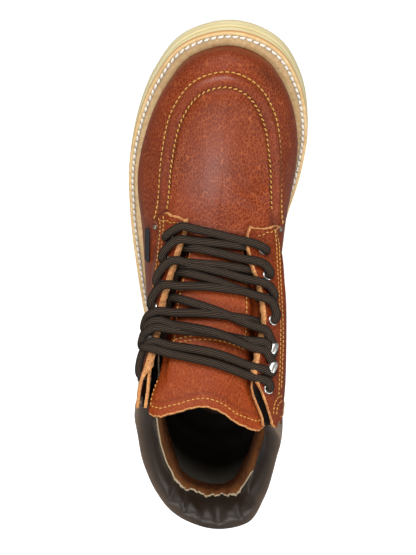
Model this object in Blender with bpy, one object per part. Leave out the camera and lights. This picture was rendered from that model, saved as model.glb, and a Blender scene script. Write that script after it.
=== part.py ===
# Left work boot: a hollow moc-toe leather upper on a welted wedge sole, laced over a tongue.
# Metres, +Z up, toe towards +Y, inner side of the foot towards +X, origin under the middle of the sole.
import math

import bmesh
import bpy
import numpy as np
from mathutils import Matrix, Vector

MM = 0.001
GAP = 0.3
SMALLEST_SPAN = 1e-6
SLOPE_STEP = 0.03
SMOOTH_BELOW_DEG = 40

# Driving sizes in millimetres, measured from the back of the heel along the floor
SOLE_LENGTH = 303.5
WALL = 2.2
WELT_THICKNESS = 3.5
MIDSOLE_THICKNESS = 6.0
INSOLE_THICKNESS = 3.5
INSOLE_SLACK = 0.6
WELT_UNDER_UPPER = 8.0
TREAD_ROUND = 1.5
SOLE_ROUND = 0.8
SOLE_STEP = 0.3
RIDGE_HALF_WIDTH = 5.2
RIDGE_RISE = 1.8
BELLY_HEIGHT = 14.0
EYESTAY_THICKNESS = 1.5
EYESTAY_SEAT = 0.92
TONGUE_THICKNESS = 2.4
TONGUE_CLEARANCE = 0.6
COLLAR_SWELL_OUT = 2.8
COLLAR_SWELL_IN = 7.5
LACE_DIAMETER = 5.2
LACE_OFF_TONGUE = 0.8
LACE_OFF_EYESTAY = 0.6
LACE_CUTS = 7
EYELET_RING_RADIUS = 3.5
EYELET_WIRE_RADIUS = 0.9
HOOK_WIDTH = 7.5
HOOK_SHEET = 1.2
TREAD_DEPTH = 2.5
TREAD_WIDTH = 4.0
TREAD_MARGIN = 9.0

# Stations run from the toe (0) down the outer side to the back of the heel (10) and home up the inner side
HALF_STATIONS = 10
STATIONS = 2 * HALF_STATIONS
SOLE_CUTS = 3
UPPER_BACK_STATIONS = 17
UPPER_LOW_CUTS = (2, 2, 4, 5)
UPPER_HIGH_CUTS = 6
EYESTAY_COLUMNS = 8
EYESTAY_ROWS = 13

# The edge of the last on the welt, and the welt that stands out beyond it
#    y      outer   inner   outer welt  inner welt
LAST_EDGE = (
    (293.5,   7.0,   7.0,  10.0,  10.0),   # toe
    (284.5, -18.4,  29.2,   9.5,  10.3),   # toe corner
    (262.0, -34.0,  43.4,   9.0,   9.7),   # toe side
    (232.0, -44.6,  50.0,   9.0,   9.2),   # ball, front
    (200.0, -50.0,  48.5,   9.0,   8.2),   # ball
    (165.0, -49.5,  42.5,   8.8,   6.0),   # waist, front
    (125.0, -46.0,  37.5,   7.5,   4.5),   # waist
    (82.0,  -40.5,  38.0,   6.0,   4.5),   # heel, front
    (45.0,  -33.5,  38.5,   5.0,   5.0),   # heel side
    (17.0,  -17.0,  30.0,   5.0,   5.0),   # heel corner
    (5.0,     7.5,   7.5,   5.0,   5.0),   # back
)

# The side wall: how far it swells, and where the moc seam or the shoulder above it lies
#   swell  outer inset  inner inset  height  lean in degrees
SIDE_WALL = (
    (1.0,  11.0,  11.0,  57.5,  45.0),
    (1.4,  10.1,  11.6,  57.5,  46.0),
    (1.8,   9.8,  11.5,  58.5,  48.0),
    (2.0,  13.9,  12.0,  63.0,  46.0),
    (2.2,  16.5,   9.0,  70.0,  40.0),
    (1.8,  10.0,   2.8,  73.0,  22.0),
    (1.0,   4.5,   0.2,  76.0,   8.0),
    (1.2,   0.0,  -1.0,  77.0,   0.0),
    (2.2,  -2.0,  -2.0,  77.0,  -4.0),
    (2.8,  -2.5,  -2.5,  77.0,  -6.0),
    (2.8,  -2.5,  -2.5,  77.0,  -6.0),
)

# Level with the foot of the throat
#    y      outer   inner   height
THROAT_LEVEL = (
    (200.0,   3.5,   3.5,   88.0),
    (199.5,  -5.5,  12.5,   87.5),
    (198.5, -12.0,  19.0,   87.0),
    (196.0, -17.5,  24.5,   86.0),
    (186.0, -28.0,  37.0,   88.0),
    (164.0, -37.0,  45.8,   94.0),
    (126.0, -40.5,  45.5,   99.0),
    (86.0,  -39.5,  43.5,  102.0),
    (45.0,  -33.0,  39.5,  103.0),
    (16.0,  -16.5,  29.5,  104.0),
    (5.5,     7.5,   7.5,  104.0),
)

# Half way up the shaft
#    y      outer   inner   height
MID_SHAFT = (
    (165.0,   2.5,   2.5,  131.0),
    (164.0,  -9.0,  13.0,  131.0),
    (161.0, -20.0,  23.5,  131.0),
    (156.0, -28.5,  34.0,  131.0),
    (147.0, -34.5,  42.8,  131.0),
    (126.0, -40.0,  49.2,  132.0),
    (99.0,  -41.0,  49.8,  133.0),
    (69.0,  -39.0,  47.0,  134.0),
    (40.0,  -31.5,  40.0,  135.0),
    (20.0,  -16.5,  29.5,  136.0),
    (12.5,    7.5,   7.5,  136.0),
)

# The top edge, whose front corners are drawn back further on the inner side
#  outer y inner y  outer   inner   height
TOP_EDGE = (
    (130.0, 130.0,   1.0,   1.0,  176.0),
    (129.0, 127.0, -11.0,  12.0,  176.0),
    (126.0, 121.0, -22.0,  22.5,  176.0),
    (120.0, 110.0, -33.0,  34.2,  176.0),
    (112.0, 102.0, -38.8,  42.2,  174.0),
    (97.0,   89.0, -41.5,  47.6,  169.0),
    (77.0,   70.0, -40.2,  46.4,  165.0),
    (55.0,   50.0, -36.6,  43.4,  163.0),
    (35.5,   31.5, -29.5,  38.6,  163.0),
    (18.0,   14.5, -16.0,  29.8,  165.0),
    (9.5,     9.5,   7.5,   7.5,  167.0),
)

# The sole from the side: its underside clears the floor at the waist and springs up at the toe
#     y   underside  top
SOLE_PROFILE = (
    (-20.0,  0.0,  40.5),
    (20.0,   0.0,  40.5),
    (60.0,   0.0,  39.5),
    (95.0,   1.0,  36.5),
    (130.0,  1.0,  32.0),
    (165.0,  0.0,  27.0),
    (200.0,  0.0,  24.0),
    (225.0,  0.3,  23.8),
    (255.0,  3.0,  25.5),
    (285.0,  8.5,  29.0),
    (325.0, 18.0,  36.0),
)

# Named places on the upper's grid: u counts stations and v counts rails from the welt to the top edge
RAILS = 7
RAIL_RIDGE_OUTER = 2
RAIL_THROAT = 4
RAIL_TOP = 6
FACING_U = 3.0
RIDGE_END_U = 4.3
RIDGE_FADE_U = 0.6
EYESTAY_FRONT_U = 4.43
EYESTAY_OUTER_U = 4.6
EYESTAY_WIDENS_BY = 0.45
EYESTAY_FRONT_REACH = 1.75
EYESTAY_OUTER_CURVE = 2.2
EYESTAY_INNER_CURVE = 2.4
EYESTAY_EDGE = 0.03
COLLAR_START_U = 4.72
COLLAR_STEP_U = 0.03
COLLAR_END_GAP = 0.04
COLLAR_END_ROUND = 1.2
COLLAR_FOOT_GAP = 0.012
COLLAR_BLEND_U = 2.0
COLLAR_FRONT_DROP = 0.16
COLLAR_BACK_DROP = 0.92
TONGUE_FOOT_U = 2.9
TONGUE_TOP_U = 3.65
TONGUE_FOOT_V = 3.72
TONGUE_REACH = 0.16
TONGUE_CORNER = 0.12
EYELET_OUTER_U = 3.84
EYELET_INNER_U = 3.5
HOOK_OUTER_U = 3.52
HOOK_INNER_U = 3.42
HOOK_ROWS = (5, 6)
TREAD_ROWS_Y = (22, 36, 50, 64, 176, 190, 204, 218, 232, 246, 260)

# The rail position of each lacing row, whose inner side sits higher
#  outer  inner
LACING_ROWS = (
    (4.07, 4.25),
    (4.36, 4.53),
    (4.62, 4.77),
    (4.86, 4.99),
    (5.09, 5.25),
    (5.28, 5.43),
    (5.66, 5.69),
)

# Each bend of a lace hook's strip, in millimetres from its place on the eyestay
#   away  lift
HOOK_BENDS = (
    (6.5, 0.0),
    (3.0, 0.0),
    (0.3, 0.1),
    (-1.4, 0.7),
    (-2.0, 2.2),
    (-1.4, 3.7),
    (0.3, 4.5),
    (3.0, 4.6),
    (5.8, 4.0),
)

# Stops of the lace: the station, the share of the way between two rows, and the share of the way up
# from lying on the tongue to lying on the eyestay
#  station  row   height
LACE_FIRST_BAR = (
    (3.10,  0.00, 1.00),
    (2.40,  0.05, 0.83),
    (1.20,  0.30, 0.33),
    (0.00,  0.50, 0.29),
    (-1.20, 0.70, 0.33),
    (-2.40, 0.95, 0.83),
    (-3.10, 1.00, 1.00),
)
LACE_CROSSING = (
    (2.62,  0.00, 0.00),
    (1.30,  0.25, 0.08),
    (0.00,  0.50, 0.17),
    (-1.40, 0.75, 0.17),
    (-2.50, 0.93, 0.75),
    (-3.10, 1.00, 1.00),
)

# Linear base colours, roughness and metallic of each material
LOOKS = {
    "upper_leather": ((0.30, 0.075, 0.025), 0.45, 0.0),
    "tongue_leather": ((0.42, 0.10, 0.035), 0.5, 0.0),
    "collar_leather": ((0.06, 0.045, 0.038), 0.45, 0.0),
    "welt_leather": ((0.58, 0.33, 0.11), 0.55, 0.0),
    "sole_rubber": ((0.87, 0.75, 0.42), 0.6, 0.0),
    "insole_leather": ((0.16, 0.05, 0.012), 0.8, 0.0),
    "nickel": ((0.62, 0.60, 0.57), 0.3, 1.0),
    "lace_cord": ((0.03, 0.025, 0.022), 0.8, 0.0),
}


def start_scene():
    for old in list(bpy.data.objects):
        bpy.data.objects.remove(old)
    groups = []
    for name in ("work_boot", "cutters"):
        group = bpy.data.collections.new(name)
        bpy.context.scene.collection.children.link(group)
        groups.append(group)
    return groups


def make_materials():
    made = {}
    for name, (colour, roughness, metallic) in LOOKS.items():
        material = bpy.data.materials.new(name)
        material.use_nodes = True
        shader = material.node_tree.nodes["Principled BSDF"]
        shader.inputs["Base Color"].default_value = (*colour, 1.0)
        shader.inputs["Roughness"].default_value = roughness
        shader.inputs["Metallic"].default_value = metallic
        made[name] = material
    return made


def between(before, start, end, after, s0, s1, s2, part):
    # A cubic from start to end whose slopes weigh the neighbouring points by their spacing
    leave = s1 * ((start - before) / s0 - (end - before) / (s0 + s1) + (end - start) / s1)
    arrive = s1 * ((end - start) / s1 - (after - start) / (s1 + s2) + (after - end) / s2)
    return (start * (2 * part**3 - 3 * part**2 + 1) + leave * (part**3 - 2 * part**2 + part)
            + end * (3 * part**2 - 2 * part**3) + arrive * (part**3 - part**2))


def spacing(rows, axis):
    span = np.linalg.norm(np.diff(rows, axis=axis), axis=-1, keepdims=True)
    return np.maximum(span, SMALLEST_SPAN) ** 0.5


def through(points, at):
    # A smooth curve through the rows of points, read at positions counted in rows
    points = np.asarray(points, float)
    rows = np.concatenate([2 * points[:1] - points[1:2], points, 2 * points[-1:] - points[-2:-1]])
    span = spacing(rows, 0)
    at = np.asarray(at, float)
    low = np.clip(np.floor(at).astype(int), 0, len(points) - 2)
    part = (at - low).reshape(at.shape + (1,) * (rows.ndim - 1))
    before, start, end, after = (rows[low + step] for step in range(4))
    s0, s1, s2 = (span[low + step] for step in range(3))
    return between(before, start, end, after, s0, s1, s2, part)


def around(loop, u):
    # The same curve for a closed loop with one row a station
    wrapped = np.concatenate([loop[-2:], loop, loop[:3]])
    return through(wrapped, np.mod(u, STATIONS) + 2)


def closed_loop(outer_y, inner_y, outer, inner, height):
    # Rows of a half table carried down the outer side and back up the inner one
    out_side = np.stack([outer, outer_y, height], axis=-1)
    in_side = np.stack([inner, inner_y, height], axis=-1)
    return np.concatenate([out_side, in_side[-2:0:-1]])


def both_sides(outer, inner):
    return np.concatenate([outer, inner[-2:0:-1]])


def outward(loop):
    along = np.roll(loop, -1, axis=0) - np.roll(loop, 1, axis=0)
    normal = np.stack([along[:, 1], -along[:, 0], np.zeros(len(loop))], axis=-1)
    return normal / np.linalg.norm(normal, axis=-1, keepdims=True)


def sole_heights(y):
    dense = through(SOLE_PROFILE, np.linspace(0, len(SOLE_PROFILE) - 1, 400))
    underside = np.maximum(np.interp(y, dense[:, 0], dense[:, 1]), 0.0)
    return underside, np.interp(y, dense[:, 0], dense[:, 2])


def edge_rows():
    y, outer, inner, outer_welt, inner_welt = np.array(LAST_EDGE).T
    return closed_loop(y, y, outer, inner, np.zeros(len(y))), both_sides(outer_welt, inner_welt)


def edge_at(u, beyond):
    # A point of the last's edge in plan, moved outward by beyond
    loop, _ = edge_rows()
    point = around(loop, u)
    along = around(loop, u + SLOPE_STEP) - around(loop, u - SLOPE_STEP)
    normal = np.stack([along[..., 1], -along[..., 0], np.zeros(len(u))], axis=-1)
    normal /= np.linalg.norm(normal, axis=-1, keepdims=True)
    return point + normal * np.reshape(beyond, (-1, 1))


def welt_at(u):
    _, welt = edge_rows()
    return around(welt[:, None], u)[:, 0]


def upper_rails():
    # Seven closed rails of the upper, from the welt to the top edge
    edge, _ = edge_rows()
    normal = outward(edge)
    up = np.array([0.0, 0.0, 1.0])
    edge = edge + up * (sole_heights(edge[:, 1])[1] + GAP)[:, None]
    swell, outer_inset, inner_inset, height, lean = np.array(SIDE_WALL).T
    swell, height, lean = (both_sides(column, column) for column in (swell, height, lean))
    inset = both_sides(outer_inset, inner_inset)
    belly = edge + normal * swell[:, None] + up * BELLY_HEIGHT
    ridge = edge - normal * inset[:, None]
    ridge[:, 2] = height
    lean = np.radians(lean)[:, None]
    slope = RIDGE_HALF_WIDTH * (np.cos(lean) * up - np.sin(lean) * normal)
    y, outer, inner, level = np.array(THROAT_LEVEL).T
    throat = closed_loop(y, y, outer, inner, level)
    y, outer, inner, level = np.array(MID_SHAFT).T
    shaft = closed_loop(y, y, outer, inner, level)
    top = closed_loop(*np.array(TOP_EDGE).T)
    return np.stack([edge, belly, ridge - slope, ridge + slope, throat, shaft, top], axis=1)


def form(u, v):
    # The outer face of the upper at station u and rail v, for arrays of one shape
    columns = around(upper_rails(), u.ravel())
    first = 2 * columns[:, :1] - columns[:, 1:2]
    last = 2 * columns[:, -1:] - columns[:, -2:-1]
    rows = np.concatenate([first, columns, last], axis=1)
    span = spacing(rows, 1)
    flat = v.ravel()
    low = np.clip(np.floor(flat).astype(int), 0, RAILS - 2)
    part = (flat - low)[:, None]
    pick = np.arange(len(flat))
    before, start, end, after = (rows[pick, low + step] for step in range(4))
    s0, s1, s2 = (span[pick, low + step] for step in range(3))
    return between(before, start, end, after, s0, s1, s2, part).reshape(u.shape + (3,))


def form_normal(u, v):
    along_u = form(u + SLOPE_STEP, v) - form(u - SLOPE_STEP, v)
    along_v = form(u, v + SLOPE_STEP) - form(u, v - SLOPE_STEP)
    normal = np.cross(along_u, along_v)
    return normal / np.linalg.norm(normal, axis=-1, keepdims=True)


def lifted(u, v, lift):
    u, v, lift = np.broadcast_arrays(np.asarray(u, float), np.asarray(v, float), np.asarray(lift, float))
    return form(u, v) + form_normal(u, v) * lift[..., None]


def to_world(points):
    # Heel-based millimetres to metres about the middle of the sole
    return (np.asarray(points) - np.array([0.0, SOLE_LENGTH / 2, 0.0])) * MM


def add_mesh(name, points, faces, material, group):
    mesh = bpy.data.meshes.new(name)
    mesh.from_pydata(to_world(points).reshape(-1, 3).tolist(), [], faces)
    work = bmesh.new()
    work.from_mesh(mesh)
    loose = [vertex for vertex in work.verts if not vertex.link_faces]
    bmesh.ops.delete(work, geom=loose, context="VERTS")
    bmesh.ops.recalc_face_normals(work, faces=work.faces)
    work.to_mesh(mesh)
    work.free()
    mesh.shade_smooth()
    mesh.set_sharp_from_angle(angle=math.radians(SMOOTH_BELOW_DEG))
    mesh.materials.append(material)
    piece = bpy.data.objects.new(name, mesh)
    group.objects.link(piece)
    return piece


def stacked_loops(name, loops, material, group, capped=True):
    # Closed loops joined in order; caps are ladders from the outer side to the inner one
    levels, count = len(loops), len(loops[0])
    half = count // 2
    faces = []
    last = levels - 1 if capped else levels
    for level in range(last):
        low = level * count
        high = (level + 1) % levels * count
        for j in range(count):
            k = (j + 1) % count
            faces.append((low + j, low + k, high + k, high + j))
    if capped:
        for base in (0, (levels - 1) * count):
            faces.append((base, base + 1, base + count - 1))
            faces.append((base + half, base + half + 1, base + half - 1))
            for j in range(1, half - 1):
                faces.append((base + j, base + j + 1, base + count - j - 1, base + count - j))
    return add_mesh(name, np.array(loops), faces, material, group)


def skin_and_lining(name, skin, lining, kept, wraps, material, group):
    # Two grids of points closed into one wall: kept says which cells are leather, and rims close its edges
    rows, columns = skin.shape[:2]
    points = np.concatenate([skin.reshape(-1, 3), lining.reshape(-1, 3)])
    under = rows * columns
    cell_columns = columns if wraps else columns - 1
    faces = []
    edges = {}
    for i in range(rows - 1):
        for j in range(cell_columns):
            if not kept[i, j]:
                continue
            k = (j + 1) % columns
            cell = (i * columns + j, i * columns + k, (i + 1) * columns + k, (i + 1) * columns + j)
            faces.append(cell)
            faces.append(tuple(under + corner for corner in reversed(cell)))
            for start, end in zip(cell, cell[1:] + cell[:1]):
                edges[(start, end)] = True
    for start, end in edges:
        if (end, start) not in edges:
            faces.append((end, start, under + start, under + end))
    return add_mesh(name, points, faces, material, group)


def sole_loop(u, beyond, height_of):
    loop = edge_at(u, beyond)
    loop[:, 2] = height_of(loop[:, 1])
    return loop


def make_sole(looks, group, cutters):
    u = np.arange(STATIONS * SOLE_CUTS) / SOLE_CUTS
    welt = welt_at(u)
    underside = lambda y: sole_heights(y)[0]
    top = lambda y: sole_heights(y)[1]
    welt_foot = lambda y: top(y) - WELT_THICKNESS
    midsole_top = lambda y: welt_foot(y) - GAP
    midsole_foot = lambda y: midsole_top(y) - MIDSOLE_THICKNESS
    outsole_top = lambda y: midsole_foot(y) - GAP
    outsole = stacked_loops("outsole", [
        sole_loop(u, welt - TREAD_ROUND, underside),
        sole_loop(u, welt, lambda y: underside(y) + TREAD_ROUND),
        sole_loop(u, welt, lambda y: outsole_top(y) - SOLE_ROUND),
        sole_loop(u, welt - SOLE_ROUND, outsole_top),
    ], looks["sole_rubber"], group)
    cut_tread(outsole, cutters)
    stacked_loops("midsole", [
        sole_loop(u, welt - SOLE_ROUND - SOLE_STEP, midsole_foot),
        sole_loop(u, welt - SOLE_STEP, lambda y: midsole_foot(y) + SOLE_ROUND),
        sole_loop(u, welt - SOLE_STEP, lambda y: midsole_top(y) - SOLE_ROUND),
        sole_loop(u, welt - SOLE_ROUND - SOLE_STEP, midsole_top),
    ], looks["sole_rubber"], group)
    stacked_loops("welt", [
        sole_loop(u, welt - SOLE_STEP, welt_foot),
        sole_loop(u, welt - SOLE_STEP, lambda y: top(y) - SOLE_ROUND),
        sole_loop(u, welt - SOLE_ROUND - SOLE_STEP, top),
        sole_loop(u, -WELT_UNDER_UPPER, top),
        sole_loop(u, -WELT_UNDER_UPPER, welt_foot),
    ], looks["welt_leather"], group, capped=False)
    core = -WELT_UNDER_UPPER - GAP
    rim = -WALL - INSOLE_SLACK
    stacked_loops("insole", [
        sole_loop(u, core, welt_foot),
        sole_loop(u, core, lambda y: top(y) + GAP),
        sole_loop(u, rim, lambda y: top(y) + GAP),
        sole_loop(u, rim, lambda y: top(y) + INSOLE_THICKNESS),
    ], looks["insole_leather"], group)


def cut_tread(outsole, cutters):
    # Shallow bars across the tread that stop short of its edge
    half = np.linspace(0.2, 9.8, 200)
    outer_edge = edge_at(half, welt_at(half))
    inner_edge = edge_at(STATIONS - half, welt_at(STATIONS - half))
    for number, y in enumerate(TREAD_ROWS_Y):
        left = np.interp(-y, -outer_edge[:, 1], outer_edge[:, 0]) + TREAD_MARGIN
        right = np.interp(-y, -inner_edge[:, 1], inner_edge[:, 0]) - TREAD_MARGIN
        low, ahead = sole_heights(np.array([y, y + 1.0]))[0]
        mesh = bpy.data.meshes.new(f"tread_cutter_{number}")
        work = bmesh.new()
        bmesh.ops.create_cube(work, size=1.0)
        size = Vector((right - left, TREAD_WIDTH, 2 * TREAD_DEPTH)) * MM
        place = to_world([(left + right) / 2, y, low])
        tilt = Matrix.Rotation(math.atan(ahead - low), 4, "X")
        bmesh.ops.transform(work, verts=work.verts, matrix=Matrix.Diagonal((*size, 1.0)))
        bmesh.ops.transform(work, verts=work.verts, matrix=Matrix.Translation(place) @ tilt)
        work.to_mesh(mesh)
        work.free()
        cutter = bpy.data.objects.new(f"tread_cutter_{number}", mesh)
        cutter.hide_render = True
        cutter.display_type = "WIRE"
        cutters.objects.link(cutter)
        cut = outsole.modifiers.new(f"tread_{number}", "BOOLEAN")
        cut.operation = "DIFFERENCE"
        cut.solver = "EXACT"
        cut.object = cutter


def folded_u(u):
    # Stations counted from the toe on either side
    u = np.mod(u, STATIONS)
    return np.minimum(u, STATIONS - u)


def top_rail(u):
    # How high the upper's leather reaches: the collar pad takes over behind the eyestays
    back = np.clip((folded_u(u) - COLLAR_START_U) / COLLAR_BLEND_U, 0.0, 1.0)
    ease = back * back * (3 - 2 * back)
    drop = COLLAR_FRONT_DROP + (COLLAR_BACK_DROP - COLLAR_FRONT_DROP) * ease
    return np.where(folded_u(u) < COLLAR_START_U - COLLAR_STEP_U / 2, RAIL_TOP, RAIL_TOP - drop)


def ridge_lift(u, v):
    # The raised moc seam: a round roll between its two stitch rows, fading at the throat corners
    across = np.clip(v - RAIL_RIDGE_OUTER, 0.0, 1.0)
    fade = np.clip((RIDGE_END_U - folded_u(u)) / RIDGE_FADE_U, 0.0, 1.0)
    return RIDGE_RISE * np.sin(np.pi * across) * fade


def make_upper(looks, group):
    # One wall on a grid of stations and rails, stepped down where the collar starts and open at the throat
    front = np.arange(0, COLLAR_START_U, 1 / 3)[:-1]
    back = np.linspace(COLLAR_START_U, HALF_STATIONS, UPPER_BACK_STATIONS)
    half = np.concatenate([front, [COLLAR_START_U - COLLAR_STEP_U], back])
    u = np.concatenate([half, STATIONS - half[-2:0:-1]])
    cuts = [np.arange(count) / count + rail for rail, count in enumerate(UPPER_LOW_CUTS)]
    low_rows = np.concatenate(cuts + [[RAIL_THROAT]])
    high_rows = np.linspace(0, 1, UPPER_HIGH_CUTS + 1)[1:]
    low_grid = np.repeat(low_rows[:, None], len(u), axis=1)
    high_grid = RAIL_THROAT + high_rows[:, None] * (top_rail(u) - RAIL_THROAT)[None, :]
    v = np.concatenate([low_grid, high_grid])
    u_grid = np.repeat(u[None, :], len(v), axis=0)
    skin = lifted(u_grid, v, ridge_lift(u_grid, v))
    lining = lifted(u_grid, v, -WALL)
    lining[0, :, 2] = skin[0, :, 2]
    cell_middle = folded_u((u + np.roll(np.where(u == u.min(), STATIONS, u), -1)) / 2)
    kept = np.ones((len(v) - 1, len(u)), bool)
    throat_rows = np.arange(len(v) - 1) >= len(low_rows) - 1
    kept[np.ix_(throat_rows, cell_middle < FACING_U)] = False
    return skin_and_lining("upper", skin, lining, kept, True, looks["upper_leather"], group)


def side_u(u, inner):
    return STATIONS - u if inner else u


def make_eyestay(name, inner, looks, group):
    # A strip beside the throat, from a round front edge on the vamp up to the top edge
    across = np.linspace(0, 1, EYESTAY_COLUMNS)[None, :]
    along = np.linspace(0, 1, EYESTAY_ROWS)[:, None]
    widen = np.clip(along / EYESTAY_WIDENS_BY, 0.0, 1.0)
    outer = EYESTAY_FRONT_U + (EYESTAY_OUTER_U - EYESTAY_FRONT_U) * widen - EYESTAY_EDGE
    u = FACING_U + EYESTAY_EDGE + (outer - FACING_U - EYESTAY_EDGE) * across
    curve = EYESTAY_INNER_CURVE if inner else EYESTAY_OUTER_CURVE
    front = RAIL_THROAT + EYESTAY_EDGE - EYESTAY_FRONT_REACH * across**curve
    v = front + (RAIL_TOP - EYESTAY_EDGE - front) * along
    seat = EYESTAY_SEAT + ridge_lift(u, v)
    skin = lifted(side_u(u, inner), v, seat + EYESTAY_THICKNESS)
    lining = lifted(side_u(u, inner), v, seat)
    kept = np.ones((len(along) - 1, across.shape[1] - 1), bool)
    skin_and_lining(name, skin, lining, kept, False, looks["upper_leather"], group)


def make_tongue(looks, group):
    # A curved leaf behind the lacing, rounded at its top corners and tucked under the vamp in front
    across = np.linspace(-1, 1, 9)[None, :]
    along = np.linspace(0, 1, 11)[:, None]
    u = (TONGUE_FOOT_U + (TONGUE_TOP_U - TONGUE_FOOT_U) * along) * across
    top = RAIL_TOP + TONGUE_REACH - TONGUE_CORNER * across**6
    v = TONGUE_FOOT_V + (top - TONGUE_FOOT_V) * along
    skin = lifted(u, v, -WALL - TONGUE_CLEARANCE)
    lining = lifted(u, v, -WALL - TONGUE_CLEARANCE - TONGUE_THICKNESS)
    kept = np.ones((along.shape[0] - 1, across.shape[1] - 1), bool)
    skin_and_lining("tongue", skin, lining, kept, False, looks["tongue_leather"], group)


def make_collar(looks, group):
    # A padded roll on top of the upper's edge, fat in the middle and closed over the top
    start = COLLAR_START_U + COLLAR_END_GAP
    u = np.linspace(start, STATIONS - start, 33)[None, :]
    rise = np.linspace(0, 1, 7)[:, None]
    foot = top_rail(u) + COLLAR_FOOT_GAP
    v = foot + (RAIL_TOP - foot) * rise
    full = np.sqrt(np.clip(1 - (2 * rise - 1) ** 2, 0, 1))
    ends = np.sin(np.pi * np.clip((folded_u(u) - start) / COLLAR_END_ROUND, 0, 0.5)) ** 0.7
    skin = lifted(u, v, COLLAR_SWELL_OUT * full * ends)
    lining = lifted(u, v, -WALL - COLLAR_SWELL_IN * full * ends)
    kept = np.ones((rise.shape[0] - 1, u.shape[1] - 1), bool)
    skin_and_lining("collar", skin, lining, kept, False, looks["collar_leather"], group)


def frame_at(u, v):
    # Point, outward normal and the direction away from the throat at one place on the upper
    u, v = np.array([u]), np.array([v])
    normal = form_normal(u, v)[0]
    away = form(u + SLOPE_STEP, v)[0] - form(u - SLOPE_STEP, v)[0]
    if u[0] < 0:
        away = -away
    away -= normal * np.dot(away, normal)
    return form(u, v)[0], normal, away / np.linalg.norm(away)


def make_eyelet(name, u, v, looks, group):
    point, normal, _ = frame_at(u, v)
    seat = EYESTAY_SEAT + EYESTAY_THICKNESS + GAP + EYELET_WIRE_RADIUS
    bpy.ops.mesh.primitive_torus_add(major_segments=8, minor_segments=4,
                                     major_radius=EYELET_RING_RADIUS * MM,
                                     minor_radius=EYELET_WIRE_RADIUS * MM,
                                     location=to_world(point + normal * seat),
                                     rotation=Vector(normal).to_track_quat("Z", "Y").to_euler())
    ring = bpy.context.object
    ring.name = name
    ring.data.name = name
    ring.data.materials.append(looks["nickel"])
    ring.data.shade_smooth()
    for owner in list(ring.users_collection):
        owner.objects.unlink(ring)
    group.objects.link(ring)


def make_hook(name, u, v, looks, group):
    # A strip bent double: a foot on the eyestay, a round neck beside the throat and a lip back over the foot
    point, normal, away = frame_at(u, v)
    across = np.cross(normal, away)
    seat = EYESTAY_SEAT + EYESTAY_THICKNESS + GAP + HOOK_SHEET / 2
    path = np.array([point + away * out + normal * (seat + lift) for out, lift in HOOK_BENDS])
    run = np.gradient(path, axis=0)
    run /= np.linalg.norm(run, axis=-1, keepdims=True)
    sheet = np.cross(run, across)
    wide = across * HOOK_WIDTH / 2
    thick = sheet * HOOK_SHEET / 2
    below, above = path - thick, path + thick
    corners = np.stack([below - wide, below + wide, above + wide, above - wide], axis=1)
    faces = [(0, 1, 2, 3), tuple(4 * (len(path) - 1) + j for j in range(4))]
    for i in range(len(path) - 1):
        for j in range(4):
            k = (j + 1) % 4
            faces.append((4 * i + j, 4 * i + k, 4 * i + 4 + k, 4 * i + 4 + j))
    add_mesh(name, corners, faces, looks["nickel"], group)


def lace_tube(name, route):
    # A round cord along a smooth curve through its route, as a closed mesh
    points = to_world(through(np.array(route), np.linspace(0, len(route) - 1, LACE_CUTS)))
    curve = bpy.data.curves.new(name, "CURVE")
    curve.dimensions = "3D"
    curve.bevel_depth = LACE_DIAMETER / 2 * MM
    curve.bevel_resolution = 2
    curve.use_fill_caps = True
    spline = curve.splines.new("POLY")
    spline.points.add(len(points) - 1)
    for knot, place in zip(spline.points, points):
        knot.co = (*place, 1.0)
    guide = bpy.data.objects.new(name + "_guide", curve)
    bpy.context.scene.collection.objects.link(guide)
    bpy.context.view_layer.update()
    mesh = bpy.data.meshes.new_from_object(guide.evaluated_get(bpy.context.evaluated_depsgraph_get()))
    bpy.data.objects.remove(guide)
    work = bmesh.new()
    work.from_mesh(mesh)
    bmesh.ops.remove_doubles(work, verts=work.verts, dist=1e-6)
    bmesh.ops.recalc_face_normals(work, faces=work.faces)
    work.to_mesh(mesh)
    work.free()
    mesh.shade_smooth()
    return bpy.data.objects.new(name, mesh)


def lace_route(stops, start, end):
    # The stops carried onto the upper's form between two lacing rows
    u, share, height = np.array(stops).T
    low = LACE_DIAMETER / 2 - WALL - TONGUE_CLEARANCE + LACE_OFF_TONGUE
    high = EYESTAY_SEAT + EYESTAY_THICKNESS + LACE_DIAMETER / 2 + LACE_OFF_EYESTAY
    return lifted(u, start + (end - start) * share, low + (high - low) * height)


def make_lace(looks, group, cutters):
    # One straight bar at the foot of the throat, then a crossing from each row to the next, all joined
    mirrored = tuple((-u, share, height) for u, share, height in LACE_CROSSING)
    lace = lace_tube("lace", lace_route(LACE_FIRST_BAR, *LACING_ROWS[0]))
    lace.data.materials.append(looks["lace_cord"])
    group.objects.link(lace)
    for row, (here, above) in enumerate(zip(LACING_ROWS, LACING_ROWS[1:]), start=1):
        for side, stops, start, end in (("lateral", LACE_CROSSING, here[0], above[1]),
                                        ("medial", mirrored, here[1], above[0])):
            bar = lace_tube(f"lace_{side}_{row}", lace_route(stops, start, end))
            bar.hide_render = True
            bar.display_type = "WIRE"
            cutters.objects.link(bar)
            join = lace.modifiers.new(bar.name, "BOOLEAN")
            join.operation = "UNION"
            join.solver = "EXACT"
            join.object = bar


def make_lacing_metal(looks, group):
    for row, places in enumerate(LACING_ROWS, start=1):
        for side, v, eyelet_u, hook_u in (("lateral", places[0], EYELET_OUTER_U, HOOK_OUTER_U),
                                          ("medial", places[1], -EYELET_INNER_U, -HOOK_INNER_U)):
            if row in HOOK_ROWS:
                make_hook(f"hook_{side}_{row}", hook_u, v, looks, group)
            else:
                make_eyelet(f"eyelet_{side}_{row}", eyelet_u, v, looks, group)


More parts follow.
